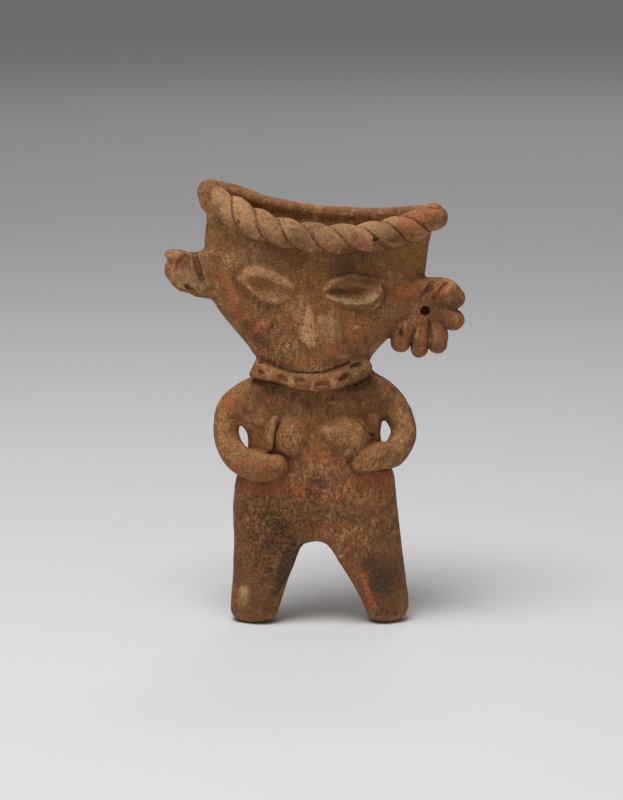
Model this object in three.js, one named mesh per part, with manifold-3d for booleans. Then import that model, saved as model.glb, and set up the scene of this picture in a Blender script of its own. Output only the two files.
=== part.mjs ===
// A small standing clay figure, built by hand from slabs, coils and pellets and fired as one piece.
// Sizes are in millimetres, +Z is up, the figure faces -Y, and +X is to the right of someone facing it.
// The origin is at the middle of the figure's footprint, on the surface that the soles stand on.

import * as THREE from "three";
import { mergeVertices } from "three/addons/utils/BufferGeometryUtils.js";
import Module from "manifold-3d";

const wasm = await Module();
wasm.setup();

// A profile gives level sections. A section has its height, its left and right edges, how far it
// reaches to the front and to the back, and how square its corners are, where 2 is an ellipse.
const section = (z, left, right, front, back, square) => ({ z, left, right, front, back, square });

// The body, from the soles to inside the head
const BODY_TOP = 64;
const BODY = [
  section(0, -18.3, 19.6, 6.2, 5.8, 2.5),
  section(0.8, -19.2, 20.6, 6.7, 6.3, 2.6),
  section(2.4, -19.6, 21.3, 6.9, 6.4, 2.7),
  section(5, -19.5, 21.5, 6.8, 6.4, 2.7),
  section(10, -19, 20.7, 6.7, 6.5, 2.7),
  section(18, -18.8, 19.8, 6.9, 6.9, 2.7),
  section(25, -18.9, 19, 7.4, 7, 2.6),
  section(31, -18.5, 18.3, 7.4, 6.7, 2.5),
  section(34.5, -17.8, 17.7, 7.1, 6.5, 2.5),
  section(39, -15.8, 15.6, 6.7, 6.2, 2.5),
  section(43.5, -15.5, 14.8, 6.4, 6, 2.5),
  section(47.5, -17.2, 15.4, 6.2, 6.1, 2.5),
  section(51.5, -17.8, 16.6, 6, 6.1, 2.5),
  section(54.5, -15.8, 15.8, 5.8, 5.9, 2.4),
  section(58, -12.9, 12.8, 5.7, 5.6, 2.3),
  section(BODY_TOP, -12.4, 12, 5.2, 4.8, 2.2),
];
const BODY_LEVELS = [
  0, 0.4, 1, 2.4, 6, 12, 18, 24, 28, 31.5, 34.5, 37.5, 40.5, 44, 47.5, 51, 54.5, 58, BODY_TOP,
];

// The arch between the legs, from the left foot over the crotch to the right foot, as [x, z]
const ARCH = [
  [-10.6, -0.4],
  [-9.1, 1.2],
  [-8.2, 4],
  [-6.4, 9],
  [-4.4, 14],
  [-2.6, 17.8],
  [0.2, 18.8],
  [2.8, 17.6],
  [5.6, 13.4],
  [8.5, 9],
  [10.7, 4.6],
  [12.1, 1.2],
  [13.2, -0.4],
];
// The inner faces of the legs are flat for this far to the front and back, and rounded from there on.
const LEG_FLAT_HALF = 1.8;
const LEG_ROUNDING = 5.4;
const LEG_ROUNDING_SHARE = 0.75;
const ARCH_DEPTHS = [-8, -6.4, -5, -3.6, -LEG_FLAT_HALF, LEG_FLAT_HALF, 3.6, 5, 6.4, 8];

// The head, in its own frame. Its origin is under the chin, and its top leans to +X.
const HEAD_ORIGIN = new THREE.Vector3(-2.4, 0, 58.6);
const HEAD_TILT = THREE.MathUtils.degToRad(6);
const WALL = 3.1;
const RIM_TOP = 42;
const HEAD = [
  section(-1.4, -4.6, 7.2, 7, 2.4, 2),
  section(-0.6, -7.6, 10.4, 8, 3, 2),
  section(1.4, -11.3, 13.2, 8.8, 4, 2.1),
  section(4.1, -13.8, 14.8, 8.9, 5.6, 2.2),
  section(8.6, -18.3, 17.9, 8.5, 6.2, 2.2),
  section(12.6, -21.7, 21.2, 7.9, 6.2, 2.2),
  section(17, -24.2, 23.6, 7.3, 6.6, 2.2),
  section(25, -25.3, 24.7, 7.2, 7.6, 2.1),
  section(31, -25.4, 24.8, 8.2, 8.6, 2),
  section(RIM_TOP, -26.2, 26, 9.8, 9.8, 1.9),
];
const HEAD_LEVELS = [-1.4, -0.9, 0, 1.6, 4.1, 6.4, 8.6, 12.6, 17, 21, 25, 28.5, 32, 36, RIM_TOP];

// The hollow of the headdress: the same slab, a wall's thickness smaller, above a rounded floor
const HOLLOW_FLOOR = 25;
const HOLLOW_ROUNDING = 2.2;
const HOLLOW_LEVELS = [0, 0.4, 1.1, HOLLOW_ROUNDING, 5.5, 9, 13, 21];

// The rim sags in the middle and slants up towards the back.
const RIM_Z = 32.9;
const RIM_SLANT = 0.245;
const RIM_SAG = 0.0079;
const BACK_BEAD_RADIUS = 1.65;
const BACK_BEAD_REACH = 24.2;
const BACK_BEAD_OUT = 7.9;

// Clay added where the band and the rim are pinched together, and at the rim's thick back left corner,
// in the head's frame, as coils of [x, y, z, radius]
const RIM_PINCHES = [
  [[-24.2, -0.4, 33.6, 2.2], [-24.9, -0.4, 37.3, 3.1]],
  [[21.5, -2.6, 35.6, 2.5], [25.5, -0.8, 36.9, 2.5]],
  [[-23, 1.8, 38, 2], [-18.4, 5.4, 37, 1.8], [-13.4, 7, 35.6, 1.5]],
];

// The rolled band on the front of the rim, twisted from three strands
const BAND_STRANDS = 3;
const BAND_STRAND_RADIUS = 1.9;
const BAND_STRAND_OFFSET = 1.25;
const BAND_PITCH = 16.5;
const BAND_REACH = 24.8;
const BAND_OUT = 9.3;
const BAND_TAPER_FROM = 0.4;
const BAND_TAPER = 2.4;

// Eyes, in the head's frame: the turn is in degrees, and the slot is pressed into the pad.
const EYE_PAD_Y = -6.1;
const EYE_SLOT_Y = -8.1;
const EYES = [
  { x: -10, z: 18.8, turn: 11, pad: [5.7, 1.9, 3.4], slot: [4.7, 1.4, 1.7] },
  { x: 8.6, z: 18.9, turn: -2.4, pad: [6.3, 1.9, 2.9], slot: [5.4, 1.4, 1.75] },
];

// The nose, in the head's frame, as a coil of growing thickness: [x, y, z, radius]
const NOSE = [
  [-0.5, -5.9, 15.8, 1.1],
  [-0.3, -6.6, 12, 1.7],
  [0, -7.3, 8.8, 2.4],
  [0.1, -7.2, 7, 2.6],
];

// Arms: coils from the shoulders that bow out and turn back onto the belly, as [x, y, z, radius]
const LEFT_ARM = [
  [-8.5, 0.1, 50.6, 4],
  [-14.5, 0.1, 51.8, 3.9],
  [-18.5, 0, 49.6, 3.5],
  [-20.2, -0.5, 45.4, 2.95],
  [-19.6, -1.8, 41.3, 3],
  [-17, -4, 38.2, 3.3],
  [-12.4, -6, 37, 3.5],
  [-9.1, -6.8, 37.5, 3.2],
];
const RIGHT_ARM = [
  [8.6, 0.1, 53, 4.2],
  [13.8, 0.1, 52.6, 3.9],
  [17.6, 0, 49.6, 3.6],
  [19.9, -0.5, 45.2, 3.05],
  [19.4, -1.8, 41.8, 3.05],
  [17.3, -4, 39.3, 3.2],
  [13.6, -5.6, 38.4, 3.1],
  [10.3, -6.4, 37.8, 2.5],
];

// The breasts, as pellets with a centre, half sizes and a turn in degrees. The right one is drawn out to
// the middle by a coil, and the left one has a thin strip laid beside it, as [x, y, z, radius].
const BREASTS = [
  { at: [-6.1, -5.4, 44.1], half: [4.5, 3.2, 5.1], turn: -12 },
  { at: [7, -5.3, 43.9], half: [5.6, 3, 4.7], turn: 14 },
];
const BREAST_POINT = [[6.4, -4.9, 44.2, 3.2], [3.2, -5.1, 44.8, 2.3], [1.6, -5.4, 45.2, 1.3]];
const BREAST_STRIP = [[-11, -6.2, 41.9, 1.05], [-10.4, -6.8, 45.3, 1.05], [-7.9, -6.9, 48.6, 1]];

// The strip laid round the neck under the chin, and the pits pressed into it, as [x, y, z, radius].
// A pit is wider than it is high, by these shares of its radius.
const PIT_WIDTH = 1.25;
const PIT_HEIGHT = 0.8;
const PIT_DEPTH = 1.1;
const NECKLACE = [
  [-12.4, -3.7, 59.1, 2.2],
  [-8.9, -6, 57.9, 1.9],
  [-4.8, -7.4, 56.6, 1.85],
  [-0.8, -7.8, 56.2, 1.9],
  [3.6, -7.5, 56.3, 1.95],
  [7.4, -6.3, 57.5, 2.1],
  [9.9, -5, 58.9, 2],
];
const NECKLACE_PITS = [
  [-12.3, -5.9, 58.8, 0.7],
  [-7.9, -8.6, 57.2, 1.1],
  [-3.1, -9.5, 56.5, 1],
  [1.9, -9.6, 56.3, 1.3],
  [6.5, -8.5, 57.1, 1.2],
];

// The left ear: a flap of this outline, as [x, z], broken off along its outer edge
const LEFT_EAR = [
  [-19, 75.6],
  [-23, 74.5],
  [-26.8, 75.1],
  [-28.2, 76.4],
  [-32, 78.1],
  [-33.8, 80],
  [-33.8, 82.1],
  [-33.2, 83.5],
  [-34, 84.8],
  [-33.1, 85.5],
  [-30.2, 85.6],
  [-28.3, 85],
  [-24.1, 85.3],
  [-19, 85.6],
];
const LEFT_EAR_Y = -0.8;
const LEFT_EAR_THICKNESS = 4.4;
const LEFT_EAR_BEVEL = 0.6;

// The right ear carries a flower-shaped ornament. Its middle has a tapering hole that isn't through,
// and each petal is a coil from near the hole to the petal's tip, as [x, z, radius].
const FLOWER_Y = -2;
const FLOWER = { x: 24.5, z: 72.1, half: [5.4, 2.2, 4.8] };
const HOLE = { front: 1.15, end: 0.7, depth: 3, start: 1 };
const FLOWER_ROOT = [[19, -0.6, 72.6, 3.4], [23.5, -1.7, 73, 2.6]];
const PETALS = [
  [[20, 76.4, 3.2], [25, 76.4, 3.1], [28.8, 76.2, 3.1], [31, 74.8, 2.7]],
  [[26.2, 72.2, 2.3], [28.8, 71.1, 2.4], [31.2, 69.8, 2.5]],
  [[26, 69.8, 2], [27.5, 66.9, 2.25], [27.4, 64.4, 2.25]],
  [[24, 70, 1.8], [23.6, 66.4, 2], [23.3, 63.2, 2]],
  [[21.7, 70.2, 2.1], [19.7, 67.4, 2.4], [19.2, 64.8, 2.35]],
];

// Grooves pressed across the ears with a stick, each from one end to the other, as [x, y, z, radius]
const EAR_GROOVES = [
  [[-26.9, -3.3, 84.4, 0.8], [-25.8, -3.3, 79.8, 0.8]],
  [[26.2, -5.3, 78.6, 0.8], [24, -5.3, 76.2, 0.8]],
  [[29.5, -5.2, 78, 0.8], [26.7, -5.4, 75.3, 0.8]],
];

const CLAY = { color: 0x8a6244, roughness: 0.82, metalness: 0 };

// The value at `at` of a smooth curve through the points (xs[i], ys[i])
function through(xs, ys, at) {
  const last = xs.length - 1;
  const x = THREE.MathUtils.clamp(at, xs[0], xs[last]);
  let i = 0;
  while (i < last - 1 && x > xs[i + 1]) i += 1;
  const slope = (k) => {
    const a = Math.max(k - 1, 0);
    const b = Math.min(k + 1, last);
    return (ys[b] - ys[a]) / (xs[b] - xs[a]);
  };
  const span = xs[i + 1] - xs[i];
  const t = (x - xs[i]) / span;
  const t2 = t * t;
  const t3 = t2 * t;
  return (
    (2 * t3 - 3 * t2 + 1) * ys[i] +
    (t3 - 2 * t2 + t) * span * slope(i) +
    (3 * t2 - 2 * t3) * ys[i + 1] +
    (t3 - t2) * span * slope(i + 1)
  );
}

// A closed skin over a row of rings with equal numbers of points, capped at both ends
function skin(rings) {
  const count = rings[0].length;
  const last = (rings.length - 1) * count;
  const centre = (ring) =>
    ring.reduce((sum, p) => sum.add(p), new THREE.Vector3()).divideScalar(count);
  const points = [...rings.flat(), centre(rings[0]), centre(rings.at(-1))];
  const caps = rings.length * count;
  const faces = [];
  for (let j = 0; j < count; j += 1) {
    const k = (j + 1) % count;
    faces.push(caps, k, j, caps + 1, last + j, last + k);
    for (let a = 0; a < last; a += count) {
      const b = a + count;
      faces.push(a + j, a + k, b + k, a + j, b + k, b + j);
    }
  }
  const geometry = new THREE.BufferGeometry().setFromPoints(points);
  geometry.setIndex(faces);
  return geometry;
}

// A slab built of level sections, each drawn in all round by what `insetAt` gives for its height
function slab(profile, levels, sides, insetAt = () => 0) {
  const heights = profile.map((s) => s.z);
  const rings = levels.map((z) => {
    const at = (key) => through(heights, profile.map((s) => s[key]), z);
    const inset = insetAt(z);
    const middle = (at("left") + at("right")) / 2;
    const half = (at("right") - at("left")) / 2 - inset;
    return Array.from({ length: sides }, (_, j) => {
      const c = Math.cos((2 * Math.PI * j) / sides);
      const s = Math.sin((2 * Math.PI * j) / sides);
      const power = 2 / at("square");
      const reach = (s < 0 ? at("front") : at("back")) - inset;
      return new THREE.Vector3(
        middle + half * Math.sign(c) * Math.abs(c) ** power,
        reach * Math.sign(s) * Math.abs(s) ** power,
        z,
      );
    });
  });
  return skin(rings);
}

// Frames along a curve: the point, the direction along it, and two directions across it
function framesAlong(curve, steps, side) {
  return Array.from({ length: steps + 1 }, (_, i) => {
    const point = curve.getPoint(i / steps);
    const along = curve.getTangent(i / steps);
    const across = side.clone().addScaledVector(along, -side.dot(along)).normalize();
    return { point, along, across, up: new THREE.Vector3().crossVectors(along, across) };
  });
}

// A ring of points across a frame, at the radius that `radius` gives for each angle
function ringAcross(frame, sides, radius, shift = 0) {
  return Array.from({ length: sides }, (_, j) => {
    const angle = (2 * Math.PI * j) / sides;
    return frame.point
      .clone()
      .addScaledVector(frame.along, shift)
      .addScaledVector(frame.across, radius(angle) * Math.cos(angle))
      .addScaledVector(frame.up, radius(angle) * Math.sin(angle));
  });
}

// A coil of clay of changing thickness along a smooth path, with round ends
function coil(beads, sides, steps) {
  const curve = new THREE.CatmullRomCurve3(
    beads.map(([x, y, z]) => new THREE.Vector3(x, y, z)),
    false,
    "catmullrom",
  );
  const places = beads.map((_, i) => i / (beads.length - 1));
  const radii = beads.map((bead) => bead[3]);
  const frames = framesAlong(curve, steps, new THREE.Vector3(0, 1, 0));
  const endRing = (frame, radius, degrees, way) => {
    const turn = THREE.MathUtils.degToRad(degrees);
    return ringAcross(frame, sides, () => radius * Math.cos(turn), way * radius * Math.sin(turn));
  };
  return skin([
    endRing(frames[0], radii[0], 78, -1),
    endRing(frames[0], radii[0], 42, -1),
    ...frames.map((frame, i) => {
      const radius = through(places, radii, i / steps);
      return ringAcross(frame, sides, () => radius);
    }),
    endRing(frames.at(-1), radii.at(-1), 42, 1),
    endRing(frames.at(-1), radii.at(-1), 78, 1),
  ]);
}

// A pellet: an ellipsoid with its own half sizes, turned about Y by some degrees and put in place
function pellet(at, half, turn = 0, sides = 12) {
  return new THREE.SphereGeometry(1, sides, Math.round(sides * 0.6))
    .scale(...half)
    .rotateY(THREE.MathUtils.degToRad(turn))
    .translate(...at);
}

// What is cut away between the legs. The arch widens to the front and back, which rounds the legs.
function legArch() {
  const curve = new THREE.SplineCurve(ARCH.map(([x, z]) => new THREE.Vector2(x, z)));
  const steps = 22;
  const underSoles = -3;
  const rings = ARCH_DEPTHS.map((y) => {
    const past = Math.min(Math.abs(y) - LEG_FLAT_HALF, LEG_ROUNDING);
    const fall = LEG_ROUNDING - Math.sqrt(LEG_ROUNDING ** 2 - past ** 2);
    const widen = LEG_ROUNDING_SHARE * fall;
    const ring = [];
    for (let i = 0; i <= steps; i += 1) {
      const point = curve.getPoint(i / steps);
      const along = curve.getTangent(i / steps);
      ring.push(new THREE.Vector3(point.x - along.y * widen, y, point.y + along.x * widen));
    }
    for (const { x } of [ring.at(-1), ring[0]]) ring.push(new THREE.Vector3(x, y, underSoles));
    return ring;
  });
  return skin(rings);
}

function breasts() {
  const pellets = BREASTS.map(({ at, half, turn }) => pellet(at, half, turn));
  return [...pellets, coil(BREAST_POINT, 8, 4), coil(BREAST_STRIP, 8, 6)];
}

// The height of the rim above a point of the head's plan
function rimHeight(x, y) {
  return RIM_Z + RIM_SLANT * y + RIM_SAG * x * x;
}

// What is cut away above the rim
function aboveRim() {
  const reach = 40;
  const depth = 20;
  const top = 80;
  const steps = 20;
  const rings = [-depth, depth].map((y) => {
    const ring = [];
    for (let i = 0; i <= steps; i += 1) {
      const x = reach * (1 - (2 * i) / steps);
      ring.push(new THREE.Vector3(x, y, rimHeight(x, y)));
    }
    for (const x of [-reach, reach]) ring.push(new THREE.Vector3(x, y, top));
    return ring;
  });
  return skin(rings);
}

// The middle line of a bead on the rim, from the left end to the right end. `out` is how far it bows
// out to the back, or to the front where it is negative, and `reach` is how far it goes to each side.
function rimCurve(out, reach) {
  const points = [];
  const middle = 0.5;
  const bow = 1.1;
  const steps = 24;
  for (let i = 0; i <= steps; i += 1) {
    const angle = (Math.PI * i) / steps;
    const x = middle - reach * Math.cos(angle);
    const y = out * Math.sin(angle) ** bow;
    points.push(new THREE.Vector3(x, y, rimHeight(x, y)));
  }
  return new THREE.CatmullRomCurve3(points, false, "catmullrom");
}

// The twisted band. Its section is the outline of its round strands, which turns along the rim.
function twistedBand() {
  const curve = rimCurve(-BAND_OUT, BAND_REACH);
  const steps = 42;
  const frames = framesAlong(curve, steps, new THREE.Vector3(0, 0, 1));
  const strand = (2 * Math.PI) / BAND_STRANDS;
  const outline = (angle) => {
    const off = angle - strand * Math.round(angle / strand);
    const beside = BAND_STRAND_OFFSET * Math.sin(off);
    return BAND_STRAND_OFFSET * Math.cos(off) + Math.sqrt(BAND_STRAND_RADIUS ** 2 - beside ** 2);
  };
  const rings = frames.map((frame, i) => {
    const turn = (2 * Math.PI * curve.getLength() * i) / (steps * BAND_PITCH);
    const taper = 1 - BAND_TAPER * Math.max(0, Math.abs(i / steps - 0.5) - BAND_TAPER_FROM);
    return ringAcross(frame, 12, (angle) => taper * outline(angle - turn));
  });
  return skin(rings);
}

// The rounded bead of the back rim
function backRim() {
  const beads = rimCurve(BACK_BEAD_OUT, BACK_BEAD_REACH)
    .getPoints(12)
    .map((p) => [p.x, p.y, p.z, BACK_BEAD_RADIUS]);
  return coil(beads, 8, 20);
}

function leftEar() {
  const outline = new THREE.Shape(LEFT_EAR.map(([x, z]) => new THREE.Vector2(x, z)));
  const depth = LEFT_EAR_THICKNESS - 2 * LEFT_EAR_BEVEL;
  return new THREE.ExtrudeGeometry(outline, {
    depth,
    bevelThickness: LEFT_EAR_BEVEL,
    bevelSize: LEFT_EAR_BEVEL,
    bevelOffset: -LEFT_EAR_BEVEL,
    bevelSegments: 1,
  })
    .rotateX(Math.PI / 2)
    .translate(0, LEFT_EAR_Y + depth / 2, 0);
}

function rightEar() {
  const petals = PETALS.map((beads) =>
    coil(beads.map(([x, z, radius]) => [x, FLOWER_Y, z, radius]), 10, beads.length),
  );
  const middle = pellet([FLOWER.x, FLOWER_Y, FLOWER.z], FLOWER.half);
  return [coil(FLOWER_ROOT, 10, 3), middle, ...petals];
}

// The grooves of both ears, and the ornament's hole, whose cut starts a little in front of the clay
function earCuts() {
  const { x, z, half } = FLOWER;
  const stick = new THREE.CylinderGeometry(HOLE.end, HOLE.front, HOLE.depth + HOLE.start, 12);
  stick.translate(x, FLOWER_Y - half[1] + (HOLE.depth - HOLE.start) / 2, z);
  return [...EAR_GROOVES.map((beads) => coil(beads, 8, 2)), stick];
}

function solidOf(geometry) {
  geometry.deleteAttribute("normal");
  geometry.deleteAttribute("uv");
  const closed = mergeVertices(geometry, 1e-4);
  return new wasm.Manifold(
    new wasm.Mesh({
      numProp: 3,
      vertProperties: closed.attributes.position.array,
      triVerts: new Uint32Array(closed.index.array),
    }),
  );
}

const join = (geometries) => geometries.map(solidOf).reduce((all, one) => all.add(one));

const cut = (solid, geometries) =>
  geometries.map(solidOf).reduce((rest, one) => rest.subtract(one), solid);

// What is made in the head's frame is turned and put in its place on the neck.
const headPlace = new THREE.Matrix4().makeRotationY(HEAD_TILT).setPosition(HEAD_ORIGIN);
const onHead = (geometries) => geometries.map((geometry) => geometry.applyMatrix4(headPlace));

// The hollow of the headdress, with a round corner where its wall meets its floor
function headHollow() {
  const insetAt = (z) => {
    const short = Math.max(0, HOLLOW_ROUNDING - (z - HOLLOW_FLOOR));
    return WALL + HOLLOW_ROUNDING - Math.sqrt(HOLLOW_ROUNDING ** 2 - short ** 2);
  };
  return slab(HEAD, HOLLOW_LEVELS.map((rise) => HOLLOW_FLOOR + rise), 26, insetAt);
}

function head() {
  const shell = cut(join(onHead([slab(HEAD, HEAD_LEVELS, 38)])), onHead([headHollow(), aboveRim()]));
  const pads = EYES.map(({ x, z, turn, pad }) => pellet([x, EYE_PAD_Y, z], pad, turn, 14));
  const slots = EYES.map(({ x, z, turn, slot }) => pellet([x, EYE_SLOT_Y, z], slot, turn));
  const pinches = RIM_PINCHES.map((beads) => coil(beads, 9, 3));
  const added = onHead([twistedBand(), backRim(), ...pinches, coil(NOSE, 10, 6), ...pads]);
  return cut(shell.add(join([...added, leftEar(), ...rightEar()])), [...onHead(slots), ...earCuts()]);
}

function body() {
  const trunk = cut(join([slab(BODY, BODY_LEVELS, 30)]), [legArch()]);
  const added = [coil(LEFT_ARM, 10, 14), coil(RIGHT_ARM, 10, 14), coil(NECKLACE, 8, 14), ...breasts()];
  const pits = NECKLACE_PITS.map(([x, y, z, radius]) =>
    pellet([x, y, z], [radius * PIT_WIDTH, PIT_DEPTH, radius * PIT_HEIGHT], 0, 8),
  );
  return cut(trunk.add(join(added)), pits);
}

// The finished solid as one mesh, moved so that its footprint's middle is at the origin
function clayMesh(solid) {
  const { numProp, vertProperties, triVerts } = solid.getMesh();
  const points = [];
  for (let i = 0; i < vertProperties.length; i += numProp) {
    points.push(new THREE.Vector3().fromArray(vertProperties, i));
  }
  const geometry = new THREE.BufferGeometry().setFromPoints(points);
  geometry.setIndex(Array.from(triVerts));
  geometry.computeBoundingBox();
  const { min, max } = geometry.boundingBox;
  geometry.translate(-(min.x + max.x) / 2, -(min.y + max.y) / 2, -min.z);
  geometry.computeVertexNormals();
  const mesh = new THREE.Mesh(geometry, new THREE.MeshStandardMaterial(CLAY));
  mesh.name = "clay_figure";
  return mesh;
}

const figure = new THREE.Group();
figure.add(clayMesh(body().add(head())));

export default figure;
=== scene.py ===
"""A small standing clay figure in a plain studio: its hand-modelled surface, its fired finish, the stage."""

import math

import bpy
import numpy as np
from bpy.props import FloatProperty, FloatVectorProperty, IntProperty, PointerProperty
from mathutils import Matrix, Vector


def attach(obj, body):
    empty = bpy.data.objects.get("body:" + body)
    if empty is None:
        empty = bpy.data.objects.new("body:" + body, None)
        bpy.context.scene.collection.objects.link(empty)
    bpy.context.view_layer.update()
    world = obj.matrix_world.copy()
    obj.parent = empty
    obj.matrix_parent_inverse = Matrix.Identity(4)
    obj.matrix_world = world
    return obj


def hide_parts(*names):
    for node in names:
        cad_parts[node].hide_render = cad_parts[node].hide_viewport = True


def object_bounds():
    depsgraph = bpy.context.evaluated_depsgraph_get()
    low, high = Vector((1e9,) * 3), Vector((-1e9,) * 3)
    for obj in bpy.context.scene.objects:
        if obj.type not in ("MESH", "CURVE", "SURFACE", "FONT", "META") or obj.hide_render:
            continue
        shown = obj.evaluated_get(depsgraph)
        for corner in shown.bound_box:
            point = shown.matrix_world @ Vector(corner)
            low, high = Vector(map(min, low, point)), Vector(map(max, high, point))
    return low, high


bl_info = {
    "name": "Standing Clay Figure",
    "version": (1, 0, 0),
    "blender": (4, 5, 0),
    "location": "3D View > Sidebar > Clay Figure",
    "description": "Models a hand-built clay figure, its fired finish and a plain studio around it",
    "category": "Object",
}

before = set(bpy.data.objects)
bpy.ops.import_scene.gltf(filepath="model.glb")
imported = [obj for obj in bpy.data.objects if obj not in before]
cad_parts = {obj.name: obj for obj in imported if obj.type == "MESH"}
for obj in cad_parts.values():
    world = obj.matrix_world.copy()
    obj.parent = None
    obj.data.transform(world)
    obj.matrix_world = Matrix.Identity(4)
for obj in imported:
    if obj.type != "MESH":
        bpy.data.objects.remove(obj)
cad_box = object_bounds()

# Sizes are in millimetres, in the maker's own axes: the figure faces -Y, +X is to the right of someone
# facing it, and Z is up from the soles. MAKERS_ORIGIN is where these axes stand in the part's.
MM = 0.001
MAKERS_ORIGIN = (0.21, 1.39, 0)

# The point of the figure that the camera looks at, how far off it stands, and how far it looks down
CAMERA_AIM = (-0.906, 0, 51.2)
CAMERA_DISTANCE = 553.7
CAMERA_PITCH = math.radians(10)

# Sections of a slab: height, left edge, right edge, reach to the front, reach to the back, and how
# square the corners are, where 2 is an ellipse
BODY_SECTIONS = [
    (0, -18.9, 20.2, 6.5, 6.1, 2.5),
    (2.4, -19.6, 21.3, 6.9, 6.4, 2.6),
    (5, -19.5, 21.5, 6.8, 6.4, 2.6),
    (10, -19, 20.7, 6.7, 6.5, 2.6),
    (18, -18.8, 19.8, 6.9, 6.9, 2.6),
    (25, -18.9, 19, 7.4, 7, 2.5),
    (31, -18.5, 18.3, 7.4, 6.7, 2.5),
    (34.5, -17.8, 17.7, 7.1, 6.5, 2.5),
    (39, -15.8, 15.6, 6.7, 6.2, 2.5),
    (43.5, -15.5, 14.8, 6.4, 6, 2.5),
    (47.5, -18.2, 15.4, 6.2, 6.1, 2.5),
    (51.5, -17.8, 16.6, 6, 6.1, 2.5),
    (54.5, -15.8, 15.8, 5.8, 5.9, 2.4),
    (58, -12.9, 12.8, 5.7, 5.6, 2.3),
    (64, -12.4, 12, 5.2, 4.8, 2.2),
]
SOLE_ROUNDING = 2.1

# The arch between the legs, from the left foot over the crotch to the right foot, as (x, z). Its edges
# are rounder at the feet than at the crotch, and change over ROUNDING_HEIGHTS. It plays no part above
# LEGS_BELOW.
ARCH = [
    (-10.6, -0.4),
    (-9.1, 1.2),
    (-8.2, 4),
    (-6.5, 9.4),
    (-4.6, 14.4),
    (-3, 18.5),
    (0.2, 19.6),
    (3, 18.5),
    (5.4, 14.4),
    (8.5, 9.4),
    (10.8, 4.8),
    (12.1, 1.2),
    (13.2, -0.4),
]
CROTCH_ROUNDING = 1.5
LEG_ROUNDING = 4.4
ROUNDING_HEIGHTS = (4, 17)
LEGS_BELOW = 24

# The head, in its own frame: its origin is under the chin, and its top leans to +X.
HEAD_ORIGIN = (-2.4, 0, 58.6)
HEAD_TILT = math.radians(6)
WALL = 3.1
HEAD_SECTIONS = [
    (-1.4, -4.6, 7.2, 7, 2.4, 2),
    (-0.6, -7.6, 10.4, 8, 3, 2),
    (1.4, -11.3, 13.2, 8.8, 4, 2.1),
    (4.1, -13.8, 14.8, 8.9, 5.6, 2.2),
    (8.6, -18.3, 17.9, 8.5, 6.2, 2.2),
    (12.6, -21.7, 21.2, 7.9, 6.2, 2.2),
    (17, -24.2, 23.6, 7.3, 6.6, 2.2),
    (25, -25.3, 24.7, 7.2, 7.6, 2.1),
    (31, -25.4, 24.8, 8.2, 8.6, 2),
    (42, -26.2, 26, 9.8, 9.8, 1.9),
]
HOLLOW_FLOOR = 25
HOLLOW_ROUNDING = 2.2

# The rim sags in the middle and slants up towards the back. Rolls of clay along it are centred on
# RIM_MIDDLE, and a RIM_CURVE over 1 draws their ends in.
RIM_Z = 32.9
RIM_SLANT = 0.245
RIM_SAG = 0.0079
RIM_MIDDLE = 0.5
RIM_CURVE = 1.1
BACK_RIM = {"out": 7.3, "reach": 24.2, "radii": (1.9, 1.5)}
RIM_PINCHES = [
    [(-24.6, -0.4, 35.2, 2.7), (-25, -0.4, 37.3, 3.15)],
    [(21.5, -2.6, 35.6, 2.5), (25.5, -0.8, 36.9, 2.5)],
    [(-23, 1.8, 38, 2), (-18.4, 5.4, 37, 1.8), (-13.4, 7, 35.6, 1.5)],
]

# The rolled band on the front of the rim is twisted from two strands. It sags at its left, and thins
# towards both ends. Its grooves cross the front of the band at these places along X, in the head's frame.
BAND = {"out": -9.02, "reach": 24.8, "ends": (0.22, 3.02)}
BAND_STEPS = 100
BAND_SAG = {"by": 0.5, "over": 10}
BAND_STRAND_RADIUS = 2.6
BAND_STRAND_OFFSET = 1
BAND_CREASE = {"depth": 0.22, "width": 0.22}
BAND_GROOVES = [-23.4, -18.4, -13.1, -7.6, -1.3, 5.2, 12.0, 16.7, 21.2]
BAND_END_GROOVE_SPACING = 5
BAND_TAPER = {"by": 0.22, "over": 0.2}

# The raised clay round the eyes, in the head's frame, with the turn in degrees
EYE_PADS = [
    {"at": (-10.8, -6.4, 19.1), "half": (6.5, 2, 3.7), "turn": 9},
    {"at": (8.7, -6.6, 18.8), "half": (6.9, 2, 3.15), "turn": -1.5},
]

# Coils of clay, as beads of (x, y, z, radius). The nose is in the head's frame.
NOSE = [(-2.1, -6.2, 17, 1.3), (-1.4, -6.6, 13.4, 1.6), (-0.6, -7.2, 10, 2.1), (-0.1, -7.5, 7.8, 2.4)]
NOSE_WINGS = {"at": (0.3, -7.2, 7.1), "half": (3.9, 1.9, 2)}
LEFT_ARM = [
    (-8.5, 0.1, 50.6, 4),
    (-14.5, 0.1, 51.8, 3.9),
    (-18.5, 0, 49.4, 3.75),
    (-20.2, -0.5, 45.4, 2.95),
    (-19.6, -1.8, 41.3, 3),
    (-17, -4, 38.2, 3.3),
    (-12.4, -6, 37, 3.5),
    (-8.7, -6.7, 37.3, 2.7),
]
RIGHT_ARM = [
    (8.6, 0.1, 53, 4.2),
    (13.8, 0.1, 52.6, 3.9),
    (17.6, 0, 49.8, 3.5),
    (19.9, -0.5, 45.2, 3.05),
    (19.4, -1.8, 41.8, 3.05),
    (17.3, -4, 39.5, 3.1),
    (14.6, -5.2, 39.5, 3.2),
    (12.2, -6, 39, 3),
    (9.6, -6.6, 37.8, 1.8),
]
BREASTS = [
    {"at": (-5.6, -5.4, 44), "half": (4.5, 3.1, 4.9), "turn": -8},
    {"at": (7, -5.3, 43.6), "half": (5.7, 3, 5.1), "turn": 14},
]
BREAST_POINT = [(6.4, -4.9, 44.4, 3.2), (3.2, -5.1, 45.3, 2.3), (1.4, -5.3, 46.1, 1.3)]
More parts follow.
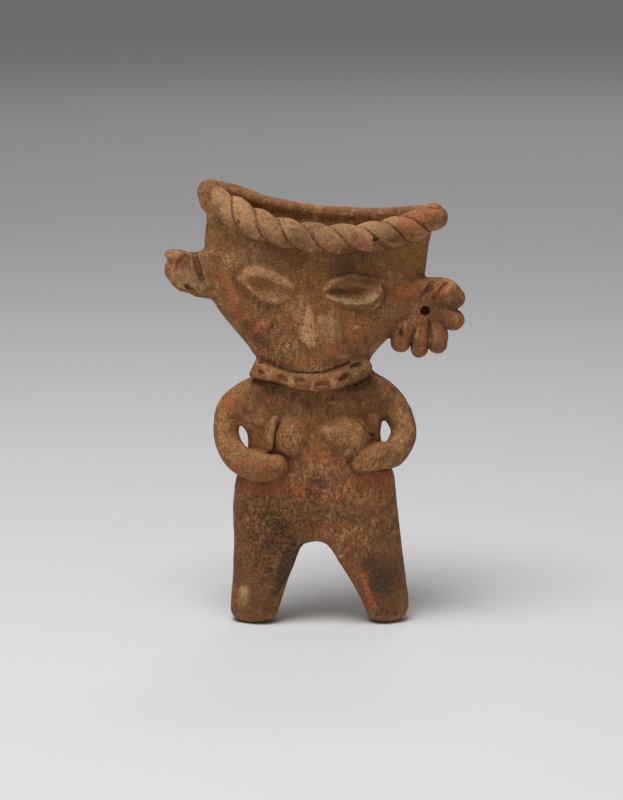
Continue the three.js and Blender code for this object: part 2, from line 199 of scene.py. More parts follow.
BREAST_STRIP = [
    (-10.4, -6.8, 41.9, 1),
    (-10.5, -7, 43.3, 1.1),
    (-10.4, -7.2, 45, 1.1),
    (-9.9, -7.3, 46.6, 1.1),
    (-9.1, -7.2, 48, 1.1),
]

# The necklace is a flattened strip: its beads' radius is half its height, and FLATNESS times half its depth.
NECKLACE = [
    (-13.3, -3.7, 59.2, 2.45),
    (-9.4, -6.2, 58.4, 2.1),
    (-5.2, -7.6, 57.3, 2.1),
    (-0.8, -8, 56.8, 2.2),
    (3.6, -7.8, 57.1, 2.25),
    (7.4, -6.7, 58.1, 2.35),
    (10.5, -4.9, 59.3, 2.4),
]
FLATNESS = 1.3
NECKLACE_END = {"at": (-14, 60), "turn": 25}

# The left ear, a flap with this outline as (x, z), broken off along its outer edge
LEFT_EAR = [
    (-19, 75.6),
    (-23, 74.5),
    (-26.8, 74.9),
    (-28.2, 75.7),
    (-30.4, 76.2),
    (-32, 77.4),
    (-33.8, 80),
    (-33.8, 82.1),
    (-33.2, 83.5),
    (-34, 84.8),
    (-33.1, 85.5),
    (-30.2, 85.6),
    (-28.3, 85),
    (-24.1, 85.3),
    (-19, 85.6),
]
LEFT_EAR_Y = -0.8
LEFT_EAR_THICKNESS = 4.4
LEFT_EAR_ROUNDING = 0.9

# The right ear carries a flower-shaped ornament: its petals are coils as (x, z, radius).
FLOWER_Y = -2
FLOWER_MIDDLE = {"at": (24.5, -2, 72.1), "half": (5.4, 2.2, 4.8)}
FLOWER_HOLE = [(24.5, -4.6, 72.1, 1), (24.5, -1.8, 72.1, 0.6)]
FLOWER_ROOT = [(19, -0.6, 72.6, 3.4), (23.5, -1.7, 73, 2.6)]
PETALS = [
    [(20, 76.4, 3.2), (25, 76.4, 3.1), (28.8, 76.2, 3.1), (30.85, 74.8, 2.7)],
    [(26.2, 72.2, 2.3), (28.8, 71.1, 2.4), (31, 69.8, 2.5)],
    [(26, 69.8, 2), (27.5, 66.9, 2.25), (27.4, 64.4, 2.25)],
    [(24, 70, 1.8), (23.6, 66.4, 2), (23.3, 63.2, 2)],
    [(21.7, 70.2, 2.1), (19.7, 67.4, 2.4), (19.2, 64.8, 2.35)],
]

# Lines drawn into the clay, as seen from the front: their depth, and points as (x, z, radius)
LINES = {
    "chin": (0.35, [(-11, 60.9, 0.15), (-7.9, 59.8, 0.2), (-4.6, 59, 0.2), (1.5, 59, 0.2), (7.6, 60.9, 0.2)]),
    "under necklace": (0.25, [(-13.6, 56.4, 0.2), (-10.4, 56.2, 0.25), (-8, 55.8, 0.15)]),
    "under necklace, right": (0.35, [(8.8, 55.7, 0.2), (11.2, 56.8, 0.25), (12.3, 57.8, 0.2)]),
    "ear groove": (1.3, [(-27, 85, 0.65), (-26.3, 82, 0.7), (-25.4, 79.4, 0.55)]),
    "ear shallow groove": (0.35, [(-29.3, 84.4, 0.6), (-30.4, 82.4, 0.7), (-30.9, 81.2, 0.5)]),
    "ear notch": (0.9, [(-28.9, 77.6, 0.4), (-28, 76.8, 0.55), (-27, 75.6, 0.6)]),
    "petal dark groove": (0.6, [(26, 78.6, 0.5), (24.9, 77.1, 0.65), (24, 75.8, 0.5)]),
    "petal red groove": (0.5, [(29.2, 78.2, 0.45), (27.8, 76.7, 0.5), (26.5, 75.2, 0.4)]),
    "between first petals": (1.1, [(21.6, 67.2, 0.3), (21.5, 65, 0.45), (21.6, 62.4, 0.5)]),
    "between middle petals": (0.4, [(25.4, 69.6, 0.25), (25.7, 67.2, 0.3), (25.8, 63.6, 0.35)]),
    "breast groove": (
        0.4,
        [(-9.4, 41.6, 0.2), (-9.1, 42.8, 0.22), (-9, 44.2, 0.22), (-8.8, 45.5, 0.2), (-8.3, 46.8, 0.15)],
    ),
    "breast crack": (0.35, [(7.6, 48.5, 0.15), (10.4, 46.8, 0.2), (12.4, 44.3, 0.2), (13.2, 43.4, 0.15)]),
    "belly crease": (0.16, [(-2.6, 27.5, 0.5), (0.3, 26.6, 0.6), (3.4, 26.8, 0.4)]),
}

# Low ridges pushed up on the surface, like the lines but with a height
RIDGES = {
    "smear under the eye": (0.22, [(3.2, 74.2, 0.5), (6.5, 72.4, 0.7), (10.1, 72.1, 0.7), (14, 74, 0.5)]),
    "crease beside the nose": (0.18, [(3, 74.6, 0.5), (5.2, 70, 0.6), (6, 66, 0.5)]),
    "fold over the eye": (0.16, [(3.4, 79.2, 0.4), (8.2, 80.3, 0.5), (13.6, 79.4, 0.4), (14.6, 76, 0.4)]),
    "left eye, lower rim": (
        0.1,
        [(-15.9, 79, 0.3), (-14, 76.8, 0.4), (-11.3, 75.5, 0.45), (-8.5, 74.9, 0.45), (-6.2, 75.6, 0.4)],
    ),
    "right eye, lower rim": (
        0.15,
        [
            (2.4, 76, 0.3),
            (4.2, 75, 0.4),
            (6.6, 74.4, 0.45),
            (9.8, 74.2, 0.45),
            (12.8, 74.8, 0.4),
            (13.9, 76, 0.3),
        ],
    ),
    "right eye, upper rim": (
        0.08,
        [(2.2, 77.2, 0.3), (5.8, 79, 0.4), (8.2, 79.1, 0.4), (11.8, 78.3, 0.4), (14, 76.9, 0.3)],
    ),
    "chest fold": (0.2, [(-16.2, 47.6, 0.8), (-14.4, 47.2, 1), (-12.8, 46.6, 0.6)]),
}

# Hollows pressed in from the front: the middle as (x, z), half sizes as (width, depth, height), turn
HOLLOWS = {
    "left eye": ((-10.9, 77.6), (5.2, 0.85, 1.85), 18),
    "right eye": ((8.1, 76.4), (5.7, 1.6, 1.8), 4),
    "necklace left": ((-12.2, 58.6), (0.8, 0.7, 0.6), 0),
    "necklace first": ((-7.7, 57.5), (1.5, 0.7, 0.85), 15),
    "necklace second": ((-3.4, 57.1), (1.1, 0.6, 0.75), 0),
    "necklace third": ((1.5, 56.5), (1.6, 0.8, 0.8), 0),
    "necklace fourth": ((6.6, 57.8), (1.5, 0.8, 0.75), -25),
    "necklace end": ((9.3, 60.2), (1.6, 1, 0.75), -12),
    "chin left": ((-12.1, 60.9), (0.5, 0.5, 0.4), 0),
    "band left": ((-17, 92.5), (0.25, 0.5, 0.5), 0),
    "band right": ((13.1, 88.8), (0.4, 1.1, 0.45), 0),
    "broken corner": ((-32.8, 85), (1.3, 0.5, 1), -30),
    "first petal": ((18.8, 67.4), (0.5, 0.4, 0.8), 0),
}

# What the clay was painted, rubbed and stained with, with painted shadow and painted light among the marks,
# as seen from
# the front: each mark has its middle (x, z), half width, half height, turn in degrees and strength.
STAINS = {
    "red": [
        (-18.5, 51.5, 3, 1.5, -35, 0.6),
        (-9, 51.8, 3.4, 1.2, 10, 0.6),
        (3.4, 53.4, 3, 1.2, 0, 0.5),
        (0.5, 31, 6, 2.6, 5, 0.5),
        (2.5, 23.4, 6, 1.3, -4, 0.6),
        (-20.3, 78.6, 5.6, 1, 38, 0.7),
        (-17.3, 72.3, 4.2, 1.1, 50, 0.6),
        (-13, 68.4, 3, 1.6, 30, 0.6),
        (20, 76.6, 3.6, 1.6, -8, 0.9),
        (27.7, 76.8, 2.1, 0.8, -52, 1.2),
        (9.4, 67.4, 2.2, 3, 10, 0.7),
        (8.8, 68.8, 1.4, 0.6, 5, 1),
        (4.5, 64, 3, 1.4, -20, 0.5),
        (-8.6, 31.8, 9, 1.5, -2, 1.1),
        (12.4, 33.9, 5, 1.5, -5, 1.3),
        (-7.7, 57.4, 1.5, 0.8, 15, 1),
        (1.5, 56.5, 1.6, 0.8, 0, 1.1),
        (9.6, 89, 3, 1.3, 35, 0.6),
        (4, 87.4, 5, 1.2, 0, 0.4),
        (-4, 89, 4, 1, 10, 0.35),
        (21.5, 92.6, 6.5, 2, -24, 0.6),
        (24, 66, 1, 2.6, 0, 0.5),
        (-30.2, 82.6, 1.6, 1.6, 30, 0.7),
        (0.5, 39.5, 3, 2, 20, 0.6),
        (-13, 38, 4, 1.4, 10, 0.5),
    ],
    "ochre": [
        (20.6, 85.2, 5.2, 3.6, 10, 1),
        (1, 81.4, 3.6, 3.6, 20, 0.7),
        (12.4, 82.3, 4.6, 2.4, -5, 0.7),
        (-22, 88.6, 2.6, 2.6, 40, 0.5),
        (-6.3, 86.6, 5, 1.4, 8, 0.5),
        (-4, 60.5, 6, 1.4, 10, 0.4),
        (12, 73.4, 3, 1.2, -30, 0.6),
        (-16, 70, 3, 3, 30, 0.5),
    ],
    "soot_and_shade": [
        # The first three marks are painted shadow in the upper part of the eye hollows, under the lids
        (4.8, 76.9, 2.5, 0.8, 3, 1),
        (8.6, 77, 2.4, 0.8, 3, 0.6),
        (-12.6, 78.2, 3, 1.1, 18, 0.5),
        (-13.4, 10, 7, 12, 0, 0.55),
        (-6.9, 23.5, 2.2, 1.8, -20, 0.7),
        (-5.2, 20.4, 1.2, 1, 0, 0.7),
        (-10.2, 19, 3, 1.8, 0, 0.6),
        (-4.4, 18, 2, 3, 20, 0.6),
        (-9.6, 23.6, 7, 5, 0, 0.25),
        (-5.2, 84.2, 5.4, 1.6, 6, 0.5),
        (6.3, 82.6, 2.8, 2.6, 10, 0.6),
        (-9.4, 72.6, 3.4, 1.3, 10, 0.6),
        (-15, 69.2, 1.9, 1.6, 20, 0.7),
        (-12.6, 66.4, 3, 1.6, 30, 0.6),
        (15, 10.4, 3, 2.8, -25, 1.5),
        (16, 8.6, 2.2, 2.4, 0, 1),
        (12.2, 14.6, 2.8, 2.2, -35, 0.95),
        (16.6, 4, 3.6, 3, 0, 0.65),
        (-13, 37.2, 6, 2.8, 8, 0.3),
        (10.6, 69.2, 4.4, 3.2, 0, 0.3),
        (15.6, 9.6, 6.4, 8.6, 0, 0.72),
        (-14.4, 19.8, 3.4, 4, 0, 0.5),
        (-17.6, 13, 1.8, 8, 0, 0.6),
        (3.4, 52.6, 2, 0.8, 0, 0.6),
        (-1.6, 51.2, 1.2, 1, 0, 0.8),
        (-13.6, 53.4, 2.6, 1.4, 10, 0.6),
        (16, 46.4, 1.2, 2.6, 0, 0.5),
        (1, 47.4, 2, 3.4, 0, 0.4),
        (25.2, 69, 1.2, 3, 0, 0.4),
        (31, 73.6, 1.2, 1, 0, 0.7),
        (25.2, 77, 1.4, 0.7, -50, 1),
        (19.2, 67, 0.7, 1.2, 0, 0.9),
        (-4.6, 91, 1, 0.5, 0, 0.6),
        (0.5, 33.6, 3.4, 1, 5, 0.6),
        (4.6, 41.6, 1.6, 1, -30, 0.6),
    ],
    "tan": [
        (2.4, 69.4, 2.4, 3.6, -24, 0.7),
        (-6.2, 64, 1.4, 1, 0, 0.8),
        (6.4, 62.6, 1.8, 0.8, 0, 0.6),
        (-6, 44.2, 4, 4.6, -12, 0.2),
        (7, 44, 5.4, 4.4, 14, 0.4),
        (2.4, 45.6, 2.4, 1.2, 10, 0.6),
        (-9.8, 45, 0.9, 3, 8, 0.9),
        (15, 39.4, 6, 2.8, -20, 0.35),
        (-16.4, 6.6, 1.6, 3, 5, 0.8),
        # The next four marks lighten the band: partly its own paler clay, partly painted light on the head
        (0, 92.6, 24, 5.4, 0, 0.8),
        (8, 90.6, 13, 3.4, -6, 1.15),
        (-17.4, 95, 7, 4, 30, 1),
        (-24.8, 95.4, 3, 4, 0, 0.7),
        (19.8, 46, 2.4, 8, 0, 0.6),
        (-20.6, 47, 2, 6, 10, 0.4),
        (-31.6, 84.6, 2.4, 1, 0, 1),
        (-28, 80, 5, 4, 0, 0.9),
        (29.4, 77.6, 2.4, 1.4, -30, 0.7),
        (-17, 45.6, 2, 2.4, 0, 0.6),
        (0.4, 36.6, 3.4, 2.2, 0, 0.5),
        (6.6, 22.4, 4, 2.4, 10, 0.5),
        (-12, 84, 10, 3.4, 0, 0.55),
        (-12, 86.6, 5, 1.8, 12, 0.5),
        (-10.6, 57.8, 1, 1.6, 0, 0.8),
        (-5.6, 56.8, 0.9, 1.7, 0, 0.8),
        (-1, 56, 0.9, 1.6, 0, 0.7),
        (4, 56.4, 1, 1.4, 0, 0.8),
        (8.8, 58.6, 0.8, 1.6, -25, 0.7),
    ],
    "cream_and_highlight": [
        # A pale patch on the right eye's lower rim: partly pale clay, partly painted highlight
        (12.1, 76.1, 1.5, 1, 0, 1.2),
        (-16.4, 7.4, 1.2, 1.6, 15, 0.8),
        (7.6, 52.6, 0.5, 1.6, -30, 0.5),
        (-6.4, 64.8, 0.6, 0.9, 0, 0.7),
        (9, 68.7, 0.9, 0.35, 5, 1),
        (22.7, 67, 0.3, 1.8, 15, 0.6),
        (25.8, 66, 0.3, 2.4, 0, 0.6),
        (1.6, 46.2, 1.8, 0.5, 30, 0.5),
        (-3.6, 63.4, 1.2, 1, 0, 0.5),
    ],
    "ash": [
        (-9.4, 77.3, 3.6, 1.1, 18, 0.6),
        (-4.4, 73.6, 1.6, 3.4, 12, 0.6),
        (3.6, 69, 2.8, 4.8, -24, 0.6),
        (-3.8, 20.2, 0.9, 2.6, 28, 0.7),
        (5.2, 18.4, 0.9, 2.4, -28, 0.7),
        (-2, 58.2, 4, 0.6, 0, 0.4),
        (2.6, 32.4, 3, 2.4, 0, 0.4),
        (-3.4, 57.1, 1, 0.7, 0, 0.7),
        (16, 4, 4, 3, 0, 0.4),
    ],
    "specks": [
        (1, 31.6, 6.5, 3.6, 0, 1.1),
        (-11.5, 23, 7, 6.5, 0, 1.2),
        (-12, 14, 5, 5, 0, 0.7),
        (3, 24.6, 8, 3, 0, 0.7),
        (-6, 43.6, 3, 4, 0, 0.25),
        (8, 41.6, 4, 3, 0, 0.35),
        (-8, 66, 8, 6, 30, 0.6),
        (12, 22, 6, 8, 0, 0.4),
        (0, 60, 9, 2, 0, 0.4),
    ],
}

# The paths of strokes round the eyes, as points (x, z, half width): pale rims and brows that are partly the
# clay's own colour and partly painted highlight
LEFT_EYE_RIM = [
    (-15.2, 78.6, 0.3), (-14, 77, 0.3), (-11.3, 75.7, 0.35),
    (-8.5, 75.2, 0.5), (-6.4, 75.9, 0.4), (-6, 76.8, 0.3),
]
RIGHT_EYE_RIM = [
    (2.7, 76.1, 0.3), (4.3, 75.3, 0.4), (6.6, 74.8, 0.5),
    (9.8, 74.6, 0.5), (12.6, 75.2, 0.5), (13.7, 76.2, 0.4),
]
RIGHT_EYE_LID = [
    (2.1, 77, 0.25), (3.5, 78, 0.25), (5.9, 78.8, 0.3),
    (8.2, 78.9, 0.3), (11.8, 78.1, 0.3), (14, 76.9, 0.25),
]
LEFT_BROW = [
    (-17, 79.8, 0.7), (-15.2, 81.2, 0.9), (-12.8, 81.6, 1),
    (-10.1, 81, 1), (-7.3, 79.6, 0.9), (-5.3, 78.2, 0.7),
]
RIGHT_BROW = [(1.8, 77.4, 0.5), (4, 79.4, 0.6), (8.2, 80.2, 0.7), (12.6, 79.3, 0.6), (14.8, 77, 0.5)]

# What else it was stained with, and what was rubbed, with some painted shadow and painted highlights: strokes
# along such paths, each with its strength
STROKES = {
    "streak": [(1.2, [(10.6, 12.2, 0.4), (11.4, 9.2, 0.5), (12.4, 6.4, 0.6), (13.2, 4.4, 0.8)])],
    # Painted shadow along the inner edge of the left leg, in the darkest colour
    "soot_and_shade": [(1.1, [(-5, 18.6, 1.4), (-6.3, 15, 2), (-8.2, 10.4, 1.4), (-9.2, 7.6, 0.8)])],
    # Pale eye rims and lid: partly pale clay, partly painted highlight where the rims face up
    "cream_and_highlight": [(0.6, LEFT_EYE_RIM), (1.2, RIGHT_EYE_RIM), (0.35, RIGHT_EYE_LID)],
    "tan": [
        # The brow strokes light the upper rims of the eyes: partly rubbed clay colour, partly painted
        # highlight
        (0.8, LEFT_BROW),
        (0.8, RIGHT_BROW),
        # The nose ridge and its left side: partly pinkish clay, partly painted highlight
        (1, [(-1.5, 73.4, 0.5), (-1.3, 71, 0.9), (-1.9, 68.4, 1.8), (-1.2, 65.8, 1.3)]),
        (0.5, [(-5.6, 74, 1.4), (-4, 71, 1.3)]),
        # The left eye's lower rim: partly rubbed clay colour, partly painted highlight
        (0.7, [(-14.6, 76.4, 0.6), (-11.3, 75, 0.6), (-8.5, 74.5, 0.6), (-5.6, 75.4, 0.6)]),
    ],
}

# A mark covers fully up to half of its size, and fades out at one and a half times its size.
MARK_FADE = 1.5

# How widely the corners between the forms are filled
SHOULDER_BLEND = {"heights": (45, 52), "widths": (0.7, 3.5)}
FLOWER_BLEND = {"from hole": (2, 4.5), "widths": (1.5, 0.25)}
TOP_PETAL_BLEND = {"across": (28, 30), "widths": (1.6, 0.25)}
BAND_BLEND = {"across": (20, 23), "widths": (0.2, 1.4)}
BLENDS = {
    "breast": 0.5,
    "breast point": 1.6,
    "breast strip": 0.25,
    "nose wings": 1.5,
    "nose": 1.8,
    "eye pad": 1.6,
    "back rim": 1.2,
    "pinch": 0.7,
    "left ear": 1.6,
    "right ear": 1.2,
    "flower root": 1.5,
    "flower hole": 0.5,
    "chin": 1.2,
    "necklace": 1,
    "necklace end": 0.4,
    "ridge": 0.6,
    "tool": 0.15,
}

# Distances further than REACH from a form aren't worked out, and count as FAR. The surface is looked for
# between the two corners of ROOM.
REACH = 4.0
FAR = 9.0
ROOM = [(-35.5, -14, -1.5), (35.5, 11.5, 103)]


def through(xs, ys, at):
    """The smooth curve through the points (xs, ys), with one row for each place in `at`."""
    xs, ys = np.asarray(xs, float), np.asarray(ys, float)
    before, after = np.maximum(np.arange(len(xs)) - 1, 0), np.minimum(np.arange(len(xs)) + 1, len(xs) - 1)
    slope = (ys[after] - ys[before]) / (xs[after] - xs[before])[:, None]
    i = np.clip(np.searchsorted(xs, at) - 1, 0, len(xs) - 2)
    span = (xs[i + 1] - xs[i])[:, None]
    t = (at - xs[i])[:, None] / span
    return (
        (2 * t**3 - 3 * t**2 + 1) * ys[i]
        + (t**3 - 2 * t**2 + t) * span * slope[i]
        + (3 * t**2 - 2 * t**3) * ys[i + 1]
        + (t**3 - t**2) * span * slope[i + 1]
    )


def smooth_path(beads, steps):
    """A smooth path through beads, as `steps` + 1 of them."""
    return through(range(len(beads)), beads, np.linspace(0, len(beads) - 1, steps + 1))


def levels_of(sections):
    """A slab's sections at closely spaced heights, one column for each of their values."""
    rows = np.array(sections, float)
    spacing = 0.1
    heights = np.arange(rows[0, 0], rows[-1, 0], spacing)
    return np.column_stack([heights, through(rows[:, 0], rows[:, 1:], heights)]).T


BODY_LEVELS = levels_of(BODY_SECTIONS)
HEAD_LEVELS = levels_of(HEAD_SECTIONS)


def joined(a, b, blend):
    """Two forms pressed together: the corner between them is filled over a width of `blend`."""
    overlap = np.maximum(blend - np.abs(a - b), 0)
    return np.minimum(a, b) - overlap * overlap / (4 * blend)


def pressed(a, b, blend):
    """Form `a` with `b` pressed into it, over an edge softened by `blend`."""
    return -joined(-a, b, blend)


def rounded(a, b, radius):
    """What lies in both forms, with the edge between them rounded to a radius."""
    corner = np.hypot(np.maximum(a + radius, 0), np.maximum(b + radius, 0))
    return np.minimum(np.maximum(a, b), -radius) + corner


def close_to(p, low, high, distance):
    """Works out a distance only for the points within REACH of a box, and gives FAR for the rest."""
    close = np.all((p > np.subtract(low, REACH)) & (p < np.add(high, REACH)), axis=1)
    found = np.full(len(p), FAR)
    if close.any():
        found[close] = distance(p[close])
    return found


def coil(p, beads, steps=14):
    """Distance to a coil of clay of changing thickness along a smooth path, with round ends."""
    path = smooth_path(beads, steps)
    thick = path[:, 3].max()

    def distance(q):
        order = np.argsort(q[:, 0])
        q = q[order]
        best = np.full(len(q), FAR)
        for start, end in zip(path[:-1], path[1:]):
            sides = min(start[0], end[0]) - thick - REACH, max(start[0], end[0]) + thick + REACH
            first, last = np.searchsorted(q[:, 0], sides)
            along = end[:3] - start[:3]
            from_start = q[first:last] - start[:3]
            t = np.clip(from_start @ along / (along @ along), 0, 1)
            off = from_start - t[:, None] * along
            found = np.sqrt(np.einsum("ij,ij->i", off, off)) - start[3] - t * (end[3] - start[3])
            np.minimum(best[first:last], found, out=best[first:last])
        return best[np.argsort(order)]

    return close_to(p, path[:, :3].min(0) - thick, path[:, :3].max(0) + thick, distance)


def pellet(p, at, half, turn=0):
    """Distance to a pellet: an ellipsoid with its own half sizes, turned about Y by some degrees."""
    c, s = math.cos(math.radians(turn)), math.sin(math.radians(turn))
    most = max(half)

    def distance(q):
        x, y, z = (q - at).T
        q = np.column_stack([c * x - s * z, y, s * x + c * z]) / half
        size = np.linalg.norm(q, axis=1)
        return size * (size - 1) / np.maximum(np.linalg.norm(q / half, axis=1), 1e-6)

    return close_to(p, np.subtract(at, most), np.add(at, most), distance)


def slab(p, levels, inset=0.0):
    """Distance to a slab built of level sections, each drawn in all round by `inset`."""
    left, right, front, back, square = (np.interp(p[:, 2], levels[0], column) for column in levels[1:])
    least = 0.5
    half = np.maximum((right - left) / 2 - inset, least)
    reach = np.maximum(np.where(p[:, 1] < 0, front, back) - inset, least)
    u = np.abs(p[:, 0] - (left + right) / 2) / half
    v = np.abs(p[:, 1]) / reach
    size = np.maximum((u**square + v**square) ** (1 / square), 1e-3)
    slope = np.hypot((u / size) ** (square - 1) / half, (v / size) ** (square - 1) / reach)
    return (size - 1) / slope


def outline(p, corners):
    """Distance in the XZ plane to a closed outline, negative inside it."""
    x, z = p[:, 0], p[:, 2]
    best = np.full(len(p), FAR)
    inside = np.zeros(len(p), bool)
    for (ax, az), (bx, bz) in zip(corners, np.roll(corners, -1, axis=0)):
        ex, ez = bx - ax, bz - az
        t = np.clip(((x - ax) * ex + (z - az) * ez) / (ex * ex + ez * ez), 0, 1)
        np.minimum(best, np.hypot(x - ax - t * ex, z - az - t * ez), out=best)
        if ez:
            inside ^= ((az > z) != (bz > z)) & (x < ex * (z - az) / ez + ax)
    return np.where(inside, -best, best)


def legs(p):
    """The body's slab, with the arch between the legs cut out of it."""
    arch = smooth_path(ARCH, 30)
    beside, under = 2, -9
    below = [(arch[-1, 0] + beside, under), (arch[0, 0] - beside, under)]
    gap = outline(p, np.vstack([arch, below]))
    rounding = np.interp(p[:, 2], ROUNDING_HEIGHTS, [LEG_ROUNDING, CROTCH_ROUNDING])
    return rounded(slab(p, BODY_LEVELS), -gap, rounding)


def body(p):
    """The body with its arms and breasts, as a distance."""
    low = p[:, 2] < LEGS_BELOW
    trunk = slab(p, BODY_LEVELS)
    trunk[low] = legs(p[low])
    trunk = rounded(trunk, -p[:, 2], SOLE_ROUNDING)
    trunk = np.maximum(trunk, p[:, 2] - BODY_SECTIONS[-1][0])
    shoulder = np.interp(p[:, 2], SHOULDER_BLEND["heights"], SHOULDER_BLEND["widths"])
    arms = np.minimum(coil(p, LEFT_ARM, steps=40), coil(p, RIGHT_ARM, steps=40))
    trunk = joined(trunk, arms, shoulder)
    for breast in BREASTS:
        trunk = joined(trunk, pellet(p, **breast), BLENDS["breast"])
    trunk = joined(trunk, coil(p, BREAST_POINT), BLENDS["breast point"])
    return joined(trunk, coil(p, BREAST_STRIP), BLENDS["breast strip"])


def rim_height(x, y):
    """The height of the rim above a point of the head's plan."""
    return RIM_Z + RIM_SLANT * y + RIM_SAG * x * x


def rim_path(out, reach, angle):
    """The middle line of a roll of clay on the rim, from angle 0 at its left end to pi at its right end."""
    x = RIM_MIDDLE - reach * np.cos(angle)
    y = out * np.sin(angle) ** RIM_CURVE
    return np.column_stack([x, y, rim_height(x, y)])


def strands():
    """The two strands of the twisted band, as coils wound round its middle line."""
    angle = np.linspace(*BAND["ends"], BAND_STEPS + 1)
    path = rim_path(BAND["out"], BAND["reach"], angle)
    path[:, 2] -= BAND_SAG["by"] * np.clip(-path[:, 0] / BAND_SAG["over"], 0, 1)
    along = np.gradient(path, axis=0)
    along /= np.linalg.norm(along, axis=1)[:, None]
    across = np.array([0, 0, 1]) - along * along[:, 2:]
    across /= np.linalg.norm(across, axis=1)[:, None]
    up = np.cross(along, across)
    first, last = BAND_GROOVES[0], BAND_GROOVES[-1]
    beyond = np.minimum(path[:, 0] - first, 0) + np.maximum(path[:, 0] - last, 0)
    grooves = np.interp(path[:, 0], BAND_GROOVES, range(len(BAND_GROOVES)))
    grooves += beyond / BAND_END_GROOVE_SPACING
    place = np.abs(np.linspace(-1, 1, BAND_STEPS + 1))
    near_end = np.maximum(0, place - (1 - BAND_TAPER["over"]))
    taper = 1 - BAND_TAPER["by"] * near_end / BAND_TAPER["over"]
    for k in range(2):
        turn = math.pi * (grooves + k)[:, None]
        off = BAND_STRAND_OFFSET * taper[:, None] * (np.cos(turn) * across + np.sin(turn) * up)
        yield np.column_stack([path + off, BAND_STRAND_RADIUS * taper])


def band(p):
    """The twisted band, in the head's frame."""
    first, second = (coil(p, strand, BAND_STEPS) for strand in strands())
    notch = BAND_CREASE["depth"] * np.maximum(1 - np.abs(first - second) / BAND_CREASE["width"], 0)
    return np.minimum(first, second) + notch


def to_head(p):
    """Points in the head's frame."""
    c, s = math.cos(HEAD_TILT), math.sin(HEAD_TILT)
    x, y, z = (p - HEAD_ORIGIN).T
    return np.column_stack([c * x - s * z, y, s * x + c * z])


def left_ear(p):
    """The flap of the left ear, with its edges rounded."""
    corners = np.array(LEFT_EAR)

    def distance(q):
        thick = np.abs(q[:, 1] - LEFT_EAR_Y) - LEFT_EAR_THICKNESS / 2
        return rounded(outline(q, corners), thick, LEFT_EAR_ROUNDING)

    low = (corners[:, 0].min(), LEFT_EAR_Y - LEFT_EAR_THICKNESS / 2, corners[:, 1].min())
    high = (corners[:, 0].max(), LEFT_EAR_Y + LEFT_EAR_THICKNESS / 2, corners[:, 1].max())
    return close_to(p, low, high, distance)


def right_ear(p):
    """The ornament of the right ear: petals pressed together round a middle with a hole."""
    flower = joined(coil(p, FLOWER_ROOT), pellet(p, **FLOWER_MIDDLE), BLENDS["flower root"])
    from_hole = np.linalg.norm((p - FLOWER_HOLE[0][:3])[:, [0, 2]], axis=1)
    blend = np.interp(from_hole, FLOWER_BLEND["from hole"], FLOWER_BLEND["widths"])
    for petal in PETALS[1:]:
        flower = joined(flower, coil(p, [(x, FLOWER_Y, z, radius) for x, z, radius in petal]), blend)
    top = coil(p, [(x, FLOWER_Y, z, radius) for x, z, radius in PETALS[0]])
    flower = joined(flower, top, np.interp(p[:, 0], TOP_PETAL_BLEND["across"], TOP_PETAL_BLEND["widths"]))
    return pressed(flower, coil(p, FLOWER_HOLE, steps=4), BLENDS["flower hole"])


def inside_head(p):
    """The distance to the hollow in the head."""
    q = to_head(p)
    return rounded(slab(q, HEAD_LEVELS, WALL), HOLLOW_FLOOR - q[:, 2], HOLLOW_ROUNDING)


def head(p):
    """The hollow head with its face, ears, rim and band, as a distance."""
    q = to_head(p)
    z = q[:, 2]
    nose = joined(coil(q, NOSE), pellet(q, **NOSE_WINGS), BLENDS["nose wings"])
    face = joined(slab(q, HEAD_LEVELS), nose, BLENDS["nose"])
    face = np.maximum(face, HEAD_SECTIONS[0][0] - z)
    for pad in EYE_PADS:
        face = joined(face, pellet(q, **pad), BLENDS["eye pad"])
    slope = np.hypot(np.hypot(1, RIM_SLANT), 2 * RIM_SAG * q[:, 0])
    above = (z - rim_height(q[:, 0], q[:, 1])) / slope
    shell = np.maximum(np.maximum(face, -inside_head(p)), above)
    back = rim_path(BACK_RIM["out"], BACK_RIM["reach"], np.linspace(0, math.pi, 24))
    beads = np.column_stack([back, np.linspace(*BACK_RIM["radii"], len(back))])
    shell = joined(shell, coil(q, beads, steps=40), BLENDS["back rim"])
    for pinch in RIM_PINCHES:
        shell = joined(shell, coil(q, pinch), BLENDS["pinch"])
    shell = joined(shell, left_ear(p), BLENDS["left ear"])
    shell = joined(shell, right_ear(p), BLENDS["right ear"])
    return joined(shell, band(q), np.interp(q[:, 0], BAND_BLEND["across"], BAND_BLEND["widths"]))


def unmarked(p):
    """The figure before anything is drawn or pressed into it, as a distance."""
    whole = joined(body(p), head(p), BLENDS["chin"])
    flat = np.array([1, FLATNESS, 1])
    strip = coil(p * flat, np.array(NECKLACE) * [*flat, 1], steps=24)
    turn = math.radians(NECKLACE_END["turn"])
    beyond = (p[:, [0, 2]] - NECKLACE_END["at"]) @ (-math.cos(turn), math.sin(turn))
    strip = rounded(strip, beyond, BLENDS["necklace end"])
    return joined(whole, strip, BLENDS["necklace"])


def from_front(x, z):
    """The points of the unmarked figure that are seen from the front at some (x, z)."""
    rounds, share, furthest_back, furthest_on = 60, 0.7, 0.3, 1.5
    p = np.column_stack([x, np.full(len(x), -FAR - REACH), z])
    for _ in range(rounds):
        p[:, 1] += share * np.clip(unmarked(p), -furthest_back, furthest_on)
    return p


